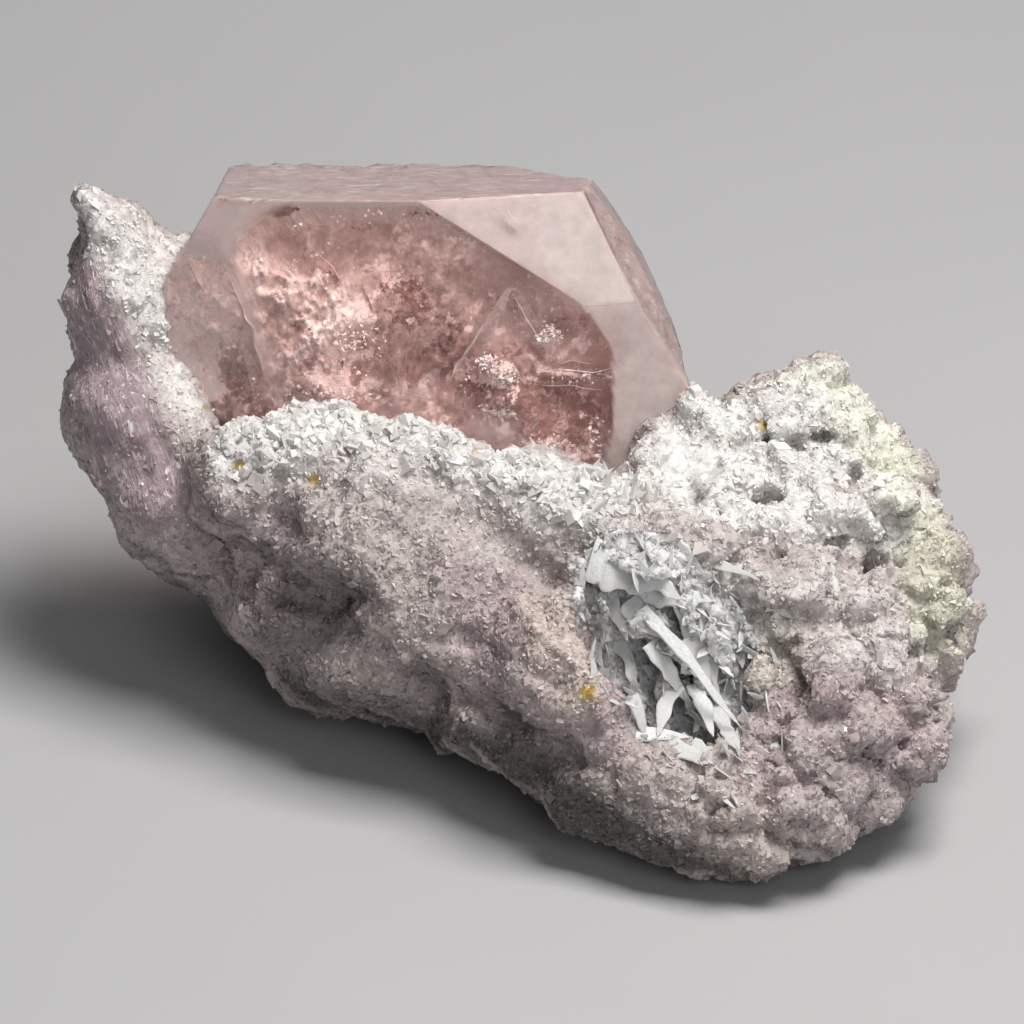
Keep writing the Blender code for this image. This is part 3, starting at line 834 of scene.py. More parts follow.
def spread(mesh, count, weights, draw):
    """Random places on a mesh: a triangle is chosen by its area times the middle of its
    corners' weights, and a place in it by two random shares."""
    points = read_points(mesh)
    normals = read_normals(mesh)
    mesh.calc_loop_triangles()
    triangles = read_rows(mesh.loop_triangles, "vertices", np.int32)
    corners = points[triangles]
    cross = np.cross(corners[:, 1] - corners[:, 0], corners[:, 2] - corners[:, 0])
    chance = np.linalg.norm(cross, axis=1) * weights[triangles].mean(axis=1)
    chosen = draw.choice(len(triangles), count, p=chance / chance.sum())
    first = np.sqrt(draw.random_sample(count))[:, None]
    second = draw.random_sample(count)[:, None]
    shares = np.hstack((1.0 - first, first * (1.0 - second), first * second))
    picked = triangles[chosen]
    place = np.sum(points[picked] * shares[..., None], axis=1)
    normal = np.sum(normals[picked] * shares[..., None], axis=1)
    return place, unit(normal), picked[:, 0]


def turned_frames(normals, lean, draw):
    """One turned frame for each normal: its third axis is the normal leaned a random
    way, and the other two are turned about it at random."""
    count = len(normals)
    third = unit(normals + draw.normal(size=(count, 3)) * lean)
    first = unit(np.cross(third, draw.normal(size=(count, 3))))
    return np.stack((first, np.cross(third, first), third), axis=1)


# A block and a double pyramid, each as its corners and its triangles
BLOCK = (
    np.array([(x, y, z) for x in (-1, 1) for y in (-1, 1) for z in (-1, 1)], float),
    np.array(((0, 1, 3), (0, 3, 2), (4, 6, 7), (4, 7, 5), (0, 4, 5), (0, 5, 1),
              (2, 3, 7), (2, 7, 6), (0, 2, 6), (0, 6, 4), (1, 5, 7), (1, 7, 3))))
PYRAMID = (
    np.vstack([(axis, -axis) for axis in np.eye(3)]),
    np.array(((0, 2, 4), (2, 1, 4), (1, 3, 4), (3, 0, 4), (2, 0, 5), (1, 2, 5), (3, 1, 5),
              (0, 3, 5))))


def random_sizes(middle, varied, most, count, draw):
    """A column of sizes: a middle one times exp(varied times a normal random number),
    with that factor cut off at most."""
    return middle * np.minimum(draw.lognormal(0.0, varied, count), most)[:, None]


def scatter(shape, place, frames, sizes, uneven, draw):
    """Many small crystals as one array: the shape's corners moved at random, stretched to
    each one's three half sizes, turned by its frame and set in its place."""
    corners, faces = shape
    count = len(place)
    moved = corners + draw.uniform(-uneven, uneven, size=(count, *corners.shape))
    moved = np.einsum("nij,njk->nik", moved * sizes[:, None, :], frames)
    points = (moved + place[:, None, :]).reshape(-1, 3)
    numbers = faces[None] + len(corners) * np.arange(count)[:, None, None]
    return points, numbers.reshape(-1, 3)


def grain_material(settings, name, rough, glassy=1.5, soft=0.0):
    """Loose grains: the rock's zone colours a little paler, the painted shade below among them,
    each with its own tone.
    """
    recipe = Recipe(name)
    lavender = recipe.attribute("lavender").between(0.1, 0.9)
    white = recipe.attribute("white").between(0.0, 0.9)
    colour = recipe.layers(
        settings.middling, (settings.lavender, lavender), (settings.white, white),
        (settings.green, recipe.attribute("green") * 0.6),
        # painted shade below, as on the rock
        (settings.grey, recipe.attribute("grey") * 0.9),
        (settings.stain, recipe.attribute("stain") * 0.6))
    tone = recipe.attribute("tone")
    return recipe.finish(recipe.surface(
        recipe.brighten(colour, tone * 0.34 + 0.88), rough + tone * 0.25,
        Normal=recipe.bump(recipe.noise(0.35, 2.0), 0.04), IOR=glassy,
        Subsurface_Weight=0.6 if soft else 0.0, Subsurface_Radius=(1.0, 1.0, 1.0),
        Subsurface_Scale=soft * MM))


# The grains' seed, the share of their blocks' count that is made, the number of spikes,
# and the ways in which laths and spikes point, in the display frame
GRAIN_SEED = 5
BLOCK_SHARE = 0.7
SPIKES = 45
LATH_WAY = (0.30, -0.95, 0.0)
SPIKE_WAY = (0.1, 0.85, 0.5)


def strew(rock, draw, name, shape, count, weight, turn, size, sides, uneven, material,
          sunk=0.0):
    """One piece of crystals strewn over the rock. Each has a place by weight, a frame
    from turn, which is the lean from the rock's normal or a function, a size as in
    random_sizes, and half sizes that are the size times sides, random ones where sides
    is a range. It is sunk by a share of its size, never reaches below the foot, and has
    its source's zone values and a tone of its own."""
    spots, normals, sources = spread(rock, count, weight, draw)
    frames = turn(normals, draw) if callable(turn) else turned_frames(normals, turn, draw)
    sizes = random_sizes(*size, count, draw)
    spots = spots - normals * sizes * sunk
    if len(sides) == 2:
        sides = draw.uniform(*sides, size=(count, 3))
    points, faces = scatter(shape, spots, frames, sizes * sides, uneven, draw)
    points[:, 2] = np.maximum(points[:, 2], 0.0)
    mesh = new_mesh(name, points, faces)
    corners = len(shape[0])
    for kind in ("white", "lavender", "green", "grey", "stain"):
        values = read_attribute(rock, kind)[sources]
        write_attributes(mesh, **{kind: np.repeat(values, corners)})
    write_attributes(mesh, tone=np.repeat(draw.random_sample(count), corners))
    new_piece(name, mesh, material)


def lath_frames(normals, draw):
    """Frames of laths that lie on the rock down the wing, each rolled a random way."""
    way = LATH_WAY @ AXES + draw.normal(size=normals.shape) * 0.12
    roll = draw.normal(size=(len(normals), 1)) * 0.45
    third = unit(normals + unit(np.cross(normals, way)) * roll)
    side = unit(np.cross(third, way))
    return np.stack((np.cross(side, third), side, third), axis=1)


def spike_frames(normals, draw):
    """Frames of spikes that stand up and lean toward the viewer."""
    up = SPIKE_WAY @ AXES + draw.normal(size=normals.shape) * 0.25
    return turned_frames(unit(up), 0.1, draw)


def build_grains(settings, rock_settings):
    """The albite grains, blocks and spikes and the mica flakes and laths on the rock."""
    rock = bpy.data.objects["matrix_rock"].data
    draw = np.random.RandomState(GRAIN_SEED)
    place = read_points(rock) / MM
    flat = to_display(place * MM)[:, :2]
    white, band, front, yellow, black = (
        read_attribute(rock, name) for name in ("white", "band", "front", "yellow", "black"))
    free = smooth(place[:, 2], 0.8, 2.0) * smooth(crystal_gap(place), 0.1, 0.5)
    free *= 1.0 - np.maximum(yellow, black)
    ledge = zone(flat, LEDGE, 0.8)
    crest = zone_sum(flat, WHITE_ZONES[:1], 1.0) * front

    weight = free * (1.0 - 0.9 * band) * (1.0 - 0.85 * ledge) * (1.0 - 0.8 * crest)
    weight *= 0.12 + 0.1 * white + 0.9 * front
    half = settings.grains // 2
    size = (settings.grain_size, 0.5, 2.0)
    material = grain_material(rock_settings, "albite_grain", 0.35)
    strew(rock, draw, "albite_grains_1", BLOCK, int(half * BLOCK_SHARE), weight, 0.9, size,
          (0.217, 0.589), 0.35, material, 0.2)
    strew(rock, draw, "albite_grains_2", PYRAMID, half, weight, 0.9, size,
          (0.35, 0.95), 0.35, material, 0.2)

    weight = free * front * (1.0 - ledge) * (1.0 - band) * (1.6 * crest + 0.12 * white + 0.02)
    material = grain_material(rock_settings, "albite_block", 0.26, soft=0.3)
    strew(rock, draw, "albite_blocks", BLOCK, settings.blocks, weight, 0.5,
          (settings.block_size, 0.55, 2.4), (0.45, 0.85), 0.42, material, 0.35)

    weight = free * (0.3 + 0.9 * front) * (1.0 - 0.3 * band) * (1.0 - 0.5 * white)
    material = grain_material(rock_settings, "mica_flake", 0.13, 1.7)
    strew(rock, draw, "mica_flakes", BLOCK, settings.flakes, weight, 0.4,
          (settings.flake_size, 0.33, np.inf), (0.5, 0.38, 0.09), 0.25, material)
    strew(rock, draw, "mica_laths", BLOCK, settings.laths, free * band, lath_frames,
          (MM, 0.4, np.inf), (0.36, 0.09, 0.03), 0.3, material)

    weight = zone(flat, SPIKE_ZONE, 0.8) * front * free
    strew(rock, draw, "albite_spikes", PYRAMID, SPIKES, weight, spike_frames,
          (MM, 0.35, np.inf), (0.42, 0.3, 1.3), 0.15,
          grain_material(rock_settings, "albite_spike", 0.25))


# Zones of the crystal's front, in picture pixels
LEFT_FROST = ((222, 150), (300, 150), (300, 198), (285, 204), (262, 214), (243, 230),
              (228, 262), (215, 240), (190, 235), (165, 225), (195, 200))
TOP_STRIP = ((215, 140), (700, 140), (700, 190), (583, 192), (418, 202), (300, 201),
             (215, 205))
# The bright facet: its pale milky colour, palest on its lens, is a painted highlight in place
# of the soft light's reflection
BRIGHT_FACET = ((418, 201), (583, 190), (637, 302), (586, 306))
HIGHLIGHT_LENS = ((545, 196), (583, 191), (635, 301), (590, 305), (560, 288), (545, 262),
               (538, 235), (538, 210))
RIGHT_LOW = ((586, 306), (640, 302), (700, 383), (655, 475), (600, 470), (613, 430),
             (613, 350))
RIGHT_PANE = ((613, 372), (640, 350), (700, 383), (655, 480), (625, 450), (614, 425))
RIGHT_STRIP = ((583, 186), (625, 188), (690, 250), (735, 400), (697, 390), (637, 302))
PINK_BAND = ((225, 258), (236, 272), (250, 310), (268, 370), (283, 412))
LEFT_PART = ((150, 225), (225, 255), (250, 310), (280, 412), (215, 430), (150, 340))
CREST_LINE = ((215, 425), (245, 425), (280, 418), (305, 405), (320, 401), (340, 410),
              (380, 405), (400, 413), (430, 430), (462, 432), (505, 437), (520, 450),
              (565, 468), (600, 475), (650, 470))

# Bites along the crystal's back rim: its line in pixels, then their number, the least
# and the largest radius and the share of the radius that is bitten off
RIM_BITES = (
    (((229, 161), (300, 158), (375, 160), (450, 163), (500, 166)), 34, 0.5, 1.7, 0.6),
    (((500, 166), (550, 173), (590, 182), (612, 200), (640, 250), (656, 300), (668, 340),
      (684, 362), (697, 380)), 46, 0.8, 2.4, 0.9),
    (((229, 161), (200, 208), (178, 222)), 12, 0.5, 1.2, 0.2),
)
CHIP_SEED = 8

# How high on the display the crystal's back rim starts and is fully reached, in mm
RIM_UP = (44.0, 44.6)

# The first rings of a facet's grid, in mm from its rim
FIRST_RINGS = (0.0, 0.12, 0.35, 0.75)

# The crystal's right shoulder, rounded beyond its flat faces: its line in pixels, how far
# in mm and, in the display frame, the way it swells and the facing directions of the
# faces in front of it and of its own
SHOULDER = ((576, 174), (692, 384))
SHOULDER_SWELL = 1.7
SHOULDER_WAY = (0.87, 0.49, 0.0)
SHOULDER_FRONTS = ((0.192, 0.254, 0.948), (0.218, -0.12, 0.969))
SHOULDER_FACE = (0.868, 0.468, 0.169)


def facet_grids(spacing):
    """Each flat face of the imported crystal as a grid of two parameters: the place along
    its rim, and the share of the way from the rim to its middle. Rings lie closer
    together near the rim. In row millimetres."""
    parts = []
    for corners in crystal_faces():
        middle = corners.mean(axis=0)
        rim = []
        for start, end in zip(corners, np.roll(corners, -1, axis=0)):
            steps = max(1, ceil(np.linalg.norm(end - start) / spacing))
            rim.append(start + (end - start) * np.arange(steps)[:, None] / steps)
        rim = np.vstack(rim)
        across = len(rim)
        reach = np.linalg.norm(rim - middle, axis=1).mean()
        inner = np.arange(1.4, reach, 2.0 * spacing)
        depth = np.concatenate((FIRST_RINGS, inner)) / reach
        depth = depth[depth < 0.97]
        rings = rim + (middle - rim) * depth[:, None, None]
        index = np.arange(len(depth) * across).reshape(len(depth), across)
        after = np.roll(index, -1, axis=1)
        inside = np.stack((index[:-1], after[:-1], after[1:]), axis=-1).reshape(-1, 3)
        outside = np.stack((index[:-1], after[1:], index[1:]), axis=-1).reshape(-1, 3)
        cap = np.stack((index[-1], after[-1], np.full(across, index.size)), axis=-1)
        parts.append((np.vstack((rings.reshape(-1, 3), middle)),
                      np.vstack((inside, outside, cap))))
    return joined(parts)


def soften_edges(points, softness):
    """Rounds the edges of a convex solid. Each point moves down the slope of the soft
    maximum k·log(sum of exp(h/k)) of its distances h in front of the face planes, until
    that is zero, which changes nothing away from the edges."""
    normals, reach = crystal_planes()
    for _ in range(2):
        ahead = (points @ normals.T - reach) / softness
        top = ahead.max(axis=1, keepdims=True)
        parts = np.exp(ahead - top)
        total = parts.sum(axis=1, keepdims=True)
        level = softness * (top[:, 0] + np.log(total[:, 0]))
        slope = (parts / total) @ normals
        points = points - slope * (level / np.sum(slope * slope, axis=1))[:, None]
    return points


def swell_shoulder(points):
    """Rounds the right shoulder outwards by up to SHOULDER_SWELL mm: by sin(πs)^0.7 along
    its line, growing behind the front faces and fading out into the body."""
    normals, reach = crystal_planes()

    def behind(facing):
        number = np.argmax(normals @ (np.array(facing) @ AXES))
        return reach[number] - points @ normals[number]

    start, end = seen(SHOULDER)
    way = end - start
    share = (to_display(points * MM)[:, :2] - start) @ way / (way @ way)
    amount = SHOULDER_SWELL * np.sin(np.pi * np.clip(share, 0.0, 1.0)) ** 0.7
    amount *= smooth(np.minimum(*(behind(facing) for facing in SHOULDER_FRONTS)), 0.1, 3.0)
    amount *= 1.0 - smooth(behind(SHOULDER_FACE), 0.5, 6.0)
    return points + amount[:, None] * (SHOULDER_WAY @ AXES)


def chip_rim(points, draw):
    """Bites along the back rim: points inside a ball that hangs over the rim are pushed
    out to its surface, which leaves a shell-like scar."""
    display = (points - MIDDLE) @ AXES.T
    centre = display.mean(axis=0)
    for pixels, count, least, largest, depth in RIM_BITES:
        line = seen(pixels)
        for _ in range(count):
            where = draw.uniform(0.0, len(line) - 1.001)
            first = int(where)
            flat = line[first] + (line[first + 1] - line[first]) * (where - first)
            nearby = np.hypot(*(display[:, :2] - flat).T) < 3.0
            outward = unit(flat - centre[:2])
            radius = draw.uniform(least, largest)
            bite = draw.uniform(0.3, 1.0) * depth * radius
            away = unit(np.array((*outward, draw.uniform(-0.9, 0.1))))
            if not nearby.any():
                continue
            reach = display[nearby] @ (*outward, -0.35)
            edge = display[nearby][np.argmax(reach)]
            ball = edge + away * (radius - bite)
            offset = display - ball
            hit = np.linalg.norm(offset, axis=1) < radius
            display[hit] = ball + unit(offset[hit]) * radius
    return display @ AXES + MIDDLE


def crystal_zones(mesh):
    """Where the crystal's faces are milky, frosted, pale and striated, as attributes. On the
    bright facet its milky pale colour is a painted highlight.
    """
    points = read_points(mesh)
    normals = read_normals(mesh)
    place = points / MM
    display = to_display(points)
    flat = display[:, :2]
    front = smooth(normals @ AXES[2], 0.0, 0.3)
    upper = smooth(normals[:, 2], 0.55, 0.8)
    behind = 1.0 - smooth(normals @ AXES[2], -0.15, 0.05)
    strip = zone(flat, TOP_STRIP, 0.25) * np.maximum(front, upper)
    left = zone(flat + 0.5 * waves(place, 2.5, 112)[:, None], LEFT_FROST, 1.1) * front
    bright, lens, low, pane, part = (
        zone(flat, outline, soft) * front for outline, soft in (
            (BRIGHT_FACET, 0.12), (HIGHLIGHT_LENS, 0.25), (RIGHT_LOW, 0.25),
            (RIGHT_PANE, 0.15), (LEFT_PART, 0.4)))
    edge = zone(flat, RIGHT_STRIP, 0.2) * np.maximum(front, 0.6)
    band = bell(line_distance(flat, seen(PINK_BAND)) / 0.9) * front
    above = np.exp(-np.maximum(line_distance(flat, seen(CREST_LINE)) - 0.5, 0.0) / 2.6)
    patchy = 0.5 + 0.5 * waves(place, 4.0, 110) + 0.25 * waves(place, 1.7, 111)
    haze = above * front * patchy
    # On the bright facet and its lens the milky pale colour is a painted highlight
    milk = np.maximum.reduce((
        0.8 * strip, 0.78 * left, 0.90 * bright, 0.7 * low + 0.16 * pane,
        0.66 * edge, 0.42 * band, 0.16 * part * patchy, 0.62 * haze, 0.12 * behind))
    frost = np.maximum.reduce((
        0.8 * strip, 0.7 * left, 0.5 * bright, 0.4 * low, 0.8 * edge, 0.3 * haze,
        0.5 * behind))
    pale = np.maximum.reduce((
        0.6 * bright + 0.4 * lens, 0.6 * low + 0.3 * low * pane, 0.5 * haze, 0.35 * edge,
        0.3 * band, 0.5 * left))
    write_attributes(
        mesh, milk=np.clip(milk, 0.0, 1.0), frost=np.clip(frost, 0.0, 1.0),
        pale=np.clip(pale, 0.0, 1.0), strip=np.maximum(strip, edge))


# How the beryl bends light and how dense its tint is, then the colours of its faces' dark
# marks, partly painted shade in etched lines, of the painted highlight on the ridges, of
# the chips, and of the film that lamps shine through
BERYL_IOR = 1.58
TINT_DENSITY = 30.0
DARK_MARKS = (0.26, 0.18, 0.18)
PAINTED_RIDGE_HIGHLIGHT = (0.72, 0.60, 0.59)
CHIP_SCARS = (0.88, 0.78, 0.76)
LAMP_FILM = (0.96, 0.92, 0.91, 1.0)


def crystal_material(settings):
    """Clear pink beryl with a pink body, milky and frosted where its zones say so, with a
    painted highlight on the bright facet, dark marks on its strip that are partly painted
    shade, and painted highlights on the strip's ridges. Lamps shine into it through a
    Transparent shader."""
    recipe = Recipe("morganite")
    frost = recipe.attribute("frost")
    strip = recipe.attribute("strip")
    lengthways = recipe.stretched((0.0, 0.03, 0.0), (4.0, 1.0, 1.0))
    striae = recipe.noise(0.8, 3.0, 0.6, place=lengthways)
    crease = 1.0 - (((striae - 0.5) * 70.0) ** 2.0).between(0.1, 1.0)
    marks = crease * recipe.noise(1.8, 2.0).between(0.51, 0.56)
    ridges = striae.between(0.53, 0.58)
    chips = recipe.noise(0.9, 4.0, 0.7, place=lengthways).between(0.57, 0.62)
    swell = recipe.noise(2.4, 3.0, 0.6)
    height = (striae * 0.8 - marks * 0.7) * strip + swell * (frost * 0.5 + 0.06)
    normal = recipe.bump(height, 0.14)
    clear = recipe.surface(
        (1.0, 0.98, 0.97), 0.015 + frost * 0.4, Normal=normal, Transmission_Weight=1.0,
        IOR=BERYL_IOR)
    lamps = recipe.node("LightPath", output="Is Shadow Ray")
    film = recipe.node("BsdfTransparent", {}, {"Color": LAMP_FILM})
    clear = recipe.blend(clear, film, lamps)
    colour = recipe.mix(settings.frosted, settings.bright, recipe.attribute("pale"))
    colour = recipe.brighten(colour, swell * 0.3 + 0.84 - strip * 0.13)
    colour = recipe.layers(
        # dark marks partly painted shade in etched lines; pale ridges a painted highlight
        colour, (DARK_MARKS, marks * strip * 0.85), (PAINTED_RIDGE_HIGHLIGHT, ridges * strip * 0.25),
        (CHIP_SCARS, chips * strip * 0.55))
    milky = recipe.surface(
        colour, 0.5, Specular_IOR_Level=0.3, Normal=normal, Subsurface_Weight=1.0,
        Subsurface_Radius=(1.0, 0.5, 0.45), Subsurface_Scale=2.5 * MM)
    body = recipe.node("VolumeAbsorption", {},
                       {"Color": (*settings.tint, 1.0), "Density": TINT_DENSITY})
    share = recipe.attribute("milk") * (swell * 0.5 + 0.75)
    return recipe.finish(recipe.blend(clear, milky, share), body)


def build_crystal(settings):
    """The crystal: its packed facets on fine grids, its edges softened, its back rim
    raised unevenly and chipped, and its shoulder swelled."""
    points, triangles = facet_grids(settings.spacing / MM)
    mesh = merged_copy(new_mesh("facets", points * MM, triangles), "morganite", 2e-6)
    points = soften_edges(read_points(mesh) / MM, settings.edge / MM)
    rim = smooth(to_display(points * MM)[:, 1], *RIM_UP)
    points += (0.4 + 0.45 * waves(points, 1.3, 115))[:, None] * rim[:, None] * AXES[1]
    points = chip_rim(swell_shoulder(points), np.random.RandomState(CHIP_SEED))
    write_points(mesh, points * MM)
    mesh.shade_smooth()
    crystal_zones(mesh)
    new_piece("morganite", mesh, crystal_material(settings), CRYSTAL_NODE)


def in_crystal(flat, depth):
    """Display places that lie a depth behind the crystal's front face."""
    front = FRONT_BASE + FRONT_RIGHT_SLOPE * flat[..., 0] + FRONT_UP_SLOPE * flat[..., 1]
    return np.concatenate((flat, (front - depth)[..., None]), axis=-1)


# Rows and columns of a veil's grid
SHEET_GRID = (32, 48)


def sheet(corners, near, far, bulge, salt):
    """A veil: a grid between four corners in picture pixels, whose depth behind the
    front face runs from near to far down it, waved by smooth noise. Gives its points,
    its faces and how far each point is from faded out at its edges."""
    rows, columns = SHEET_GRID
    across = np.linspace(0.0, 1.0, columns)[None, :, None]
    down = np.linspace(0.0, 1.0, rows)[:, None, None]
    a, b, c, d = seen(corners)
    first = a * (1 - across) + b * across
    last = d * (1 - across) + c * across
    flat = first * (1 - down) + last * down
    depth = (near + (far - near) * down[..., 0]) * np.ones(SHEET_GRID)
    place = np.concatenate((flat, depth[..., None]), axis=-1).reshape(-1, 3)
    wave = bulge * (waves(place, 9.0, salt) + 0.4 * waves(place, 2.5, salt + 1))
    display = in_crystal(flat, depth + wave.reshape(depth.shape))
    faces = grid_quads(np.arange(depth.size).reshape(depth.shape))
    edge = np.minimum(np.minimum(across, 1 - across), np.minimum(down, 1 - down))[..., 0]
    return display.reshape(-1, 3), faces, smooth(edge, 0.0, 0.05).ravel()


def build_sheets(name, rows, material):
    """Several veils joined in one piece, each faded out towards its edges."""
    sheets = [sheet(*row) for row in rows]
    points, faces = joined([made[:2] for made in sheets])
    mesh = new_mesh(name, to_row(points), faces)
    write_attributes(mesh, fade=np.concatenate([made[2] for made in sheets]))
    mesh.shade_smooth()
    new_piece(name, mesh, material)


# Veils inside the crystal: four corners in picture pixels, the depth in mm behind the
# front face along the first side and along the opposite one, the waviness and a seed
DEEP_SHEETS = (
    (((262, 205), (588, 212), (655, 455), (238, 430)), 16.0, 10.0, 1.6, 200),
)
PALE_SHEETS = (
    (((508, 284), (514, 284), (466, 404), (434, 404)), 1.0, 8.0, 0.2, 218),
    (((512, 284), (517, 284), (564, 352), (540, 354)), 1.0, 7.0, 0.2, 222),
    (((436, 366), (440, 368), (442, 398), (396, 396)), 1.5, 3.0, 0.2, 230),
    (((224, 262), (250, 266), (284, 415), (262, 415)), 1.5, 5.0, 0.4, 214),
)

# The main veil, a wavy sheet that fills the window of the front face: its outline in
# picture pixels, then its features as pixel, half width and half height in mm, turn in
# degrees and strength
WINDOW = ((290, 203), (418, 203), (585, 308), (612, 350), (612, 430), (600, 470),
          (500, 450), (400, 430), (250, 432), (180, 400), (158, 330), (175, 250),
          (222, 260), (240, 230), (262, 214))
SILVER_SHEEN_SPOTS = (
    ((258, 262), 2.2, 4.4, -18, 1.0), ((280, 292), 2.8, 5.6, -28, 1.0),
    ((308, 330), 2.6, 5.6, -58, 1.0), ((312, 258), 2.4, 4.2, -18, 0.95),
    ((328, 304), 2.2, 3.4, -20, 0.9), ((268, 330), 1.8, 4.4, -15, 0.6),
    ((248, 238), 2.2, 2.2, 0, 0.7), ((596, 378), 5.5, 0.9, -6, 0.8),
    ((292, 225), 3.0, 1.4, 10, 0.5), ((215, 320), 1.6, 3.6, 10, 0.45),
)
PALE_SPOTS = (
    ((352, 338), 3.8, 5.0, 0, 1.3), ((335, 385), 6.5, 2.2, 5, 1.1),
    ((412, 380), 3.2, 1.9, 28, 1.2), ((495, 372), 2.9, 1.7, -10, 1.0),
    ((550, 340), 1.8, 1.8, 0, 0.9), ((300, 400), 5.0, 2.2, 0, 0.8),
    ((575, 372), 6.0, 0.8, -6, 0.7), ((470, 235), 3.2, 2.0, -30, 0.5),
    ((405, 235), 5.0, 2.4, 0, 0.4), ((470, 420), 6.0, 1.4, -10, 0.8),
    ((560, 450), 6.0, 2.0, -12, 0.8), ((200, 300), 3.0, 6.0, 10, 0.5),
    ((380, 265), 4.0, 2.0, 20, 0.5), ((520, 320), 2.0, 4.0, 30, 0.4),
)
DARK_SPOTS = (
    ((412, 302), 4.6, 4.6, 0, 0.85), ((475, 392), 3.4, 2.0, -10, 1.2),
    ((550, 412), 7.0, 4.4, 0, 1.4), ((240, 372), 2.4, 5.0, 10, 0.9),
    ((342, 364), 1.0, 0.9, 0, 1.0), ((448, 330), 2.6, 4.4, -20, 0.7),
    ((330, 280), 1.2, 2.6, -10, 0.8), ((285, 208), 2.2, 0.8, 20, 0.9),
    ((205, 250), 2.0, 2.4, 0, 0.6), ((295, 410), 2.0, 1.0, 0, 0.6),
    ((580, 320), 2.4, 1.6, 0, 0.6), ((510, 350), 3.0, 2.4, 0, 0.6),
    ((440, 215), 3.4, 0.9, -12, 0.6), ((360, 225), 5.0, 1.4, 0, 0.4),
)
# The streaks of the painted silvery sheen run down to the right: the ways along and
# across them on the display, and the turn of the first axis to their way
STREAK_ALONG = (0.45, -0.89)
STREAK_ACROSS = (0.89, 0.45)
STREAK_TURN = (0.0, radians(50.6), radians(-44.7))

# The distance between the main veil's points in mm
VEIL_SPACING = 0.3

# The fine bright lines: a fan from one foot to several tips, with its depth and width in
# mm, then single lines as pixels, depth and width
FAN_FOOT = (402, 392)
FAN_TIPS = ((348, 296), (364, 280), (381, 262), (390, 292), (404, 258), (418, 300))
FAN_DEPTH = 4.0
FAN_WIDTH = 0.10
BRIGHT_LINES = (
    (((512, 286), (486, 320), (462, 356), (440, 398)), 3.0, 0.30),
    (((510, 287), (480, 330), (452, 372)), 3.4, 0.19),
    (((512, 287), (528, 318), (545, 346)), 3.0, 0.23),
    (((528, 372), (560, 366), (592, 372), (624, 362)), 3.0, 0.19),
    (((524, 384), (566, 382), (600, 388), (622, 380)), 4.0, 0.15),
    (((540, 362), (572, 358), (604, 362)), 4.5, 0.15),
    (((225, 262), (246, 306), (262, 352), (276, 402)), 2.0, 0.19),
    (((232, 262), (256, 316), (268, 372)), 3.0, 0.15),
    (((430, 214), (478, 244), (520, 276)), 5.0, 0.13),
    (((506, 203), (512, 214), (520, 224)), 0.8, 0.05),
    (((240, 300), (290, 345), (330, 362)), 3.0, 0.13),
    (((190, 262), (214, 312), (236, 372)), 3.0, 0.13),
    (((300, 232), (330, 262), (356, 300)), 4.0, 0.13),
)


def spot_sum(flat, spots):
    """The largest of several soft spots: each falls from its strength as exp(-q²), where
    q is the distance from its middle in half sizes, turned."""
    total = np.zeros(len(flat))
    for pixel, half_width, half_height, turn, strength in spots:
        offset = flat - seen([pixel])
        turned = offset @ ((cos(radians(turn)), -sin(radians(turn))),
                           (sin(radians(turn)), cos(radians(turn))))
        away = np.hypot(*(turned / (half_width, half_height)).T)
        total = np.maximum(total, strength * bell(away))
    return total


def main_veil():
    """The main veil: a grid over its outline's box, its depth behind the front face
    4.5 + 2.2 times slow noise in mm, less where it has its painted silvery sheen. That
    sheen, pale and dark are its spots times torn and streaky noise, and its cover grows
    where any is strong."""
    outline = seen(WINDOW)
    low, high = outline.min(axis=0), outline.max(axis=0)
    right, rise = np.meshgrid(*(np.arange(*ends, VEIL_SPACING) for ends in zip(low, high)))
    flat = np.column_stack((right.ravel(), rise.ravel()))
    solid = np.column_stack((flat, np.zeros(len(flat))))
    torn = waves(solid, 3.2, 400) + 0.6 * waves(solid, 1.5, 401)
    fleck = waves(solid, 0.9, 402) + 0.7 * waves(solid, 0.5, 403)
    along = flat @ STREAK_ALONG
    side = flat @ STREAK_ACROSS + 1.1 * waves(solid, 3.0, 405)

    def ridges(width, length, salt):
        drawn_out = np.column_stack((side / width, along / length, solid[:, 2]))
        return 1.0 - 2.6 * np.abs(waves(drawn_out, 1.0, salt))

    ridge = np.maximum(ridges(0.8, 3.4, 404), ridges(0.4, 1.6, 409))
    bend = flat + 0.7 * np.column_stack((waves(solid, 2.5, 405), waves(solid, 2.5, 406)))
    foil = 0.55 + 0.45 * smooth(ridge, 0.1, 0.9)
    painted_silver_sheen = spot_sum(bend, SILVER_SHEEN_SPOTS) * foil * smooth(torn, -0.9, 0.0) * 1.15
    pale = spot_sum(bend, PALE_SPOTS) * smooth(torn, -1.0, 0.1)
    pale = np.maximum(pale, 0.5 * smooth(torn + 0.5 * fleck, 0.3, 0.9))
    dark = spot_sum(bend, DARK_SPOTS) * smooth(torn + fleck, -1.1, -0.1)
    upper = smooth(flat[:, 1], 22.0, 34.0)
    dark = np.maximum(dark, (0.5 - 0.35 * upper) * smooth(0.5 * fleck - torn, 0.4, 1.0))
    strong = np.maximum.reduce((1.1 * painted_silver_sheen, pale, 0.9 * dark))
    cover = 0.34 + 0.22 * upper + 0.62 * strong + 0.12 * fleck
    cover *= zone(flat, WINDOW, 0.6)
    depth = 4.5 + 2.2 * waves(solid, 9.0, 407) + 0.5 * waves(solid, 2.5, 408)
    depth = np.maximum(depth - 2.0 * painted_silver_sheen, 0.8)
    faces = grid_quads(np.arange(len(flat)).reshape(right.shape))
    mesh = new_mesh("main_veil", to_row(in_crystal(flat, depth)), faces)
    parts = {"painted_silver_sheen": painted_silver_sheen, "pale": pale, "dark": dark, "cover": cover}
    write_attributes(mesh, **{name: np.clip(part, 0.0, 1.0) for name, part in parts.items()})
    mesh.shade_smooth()
    return mesh


# Points along a fine line
RIBBON_STEPS = 40


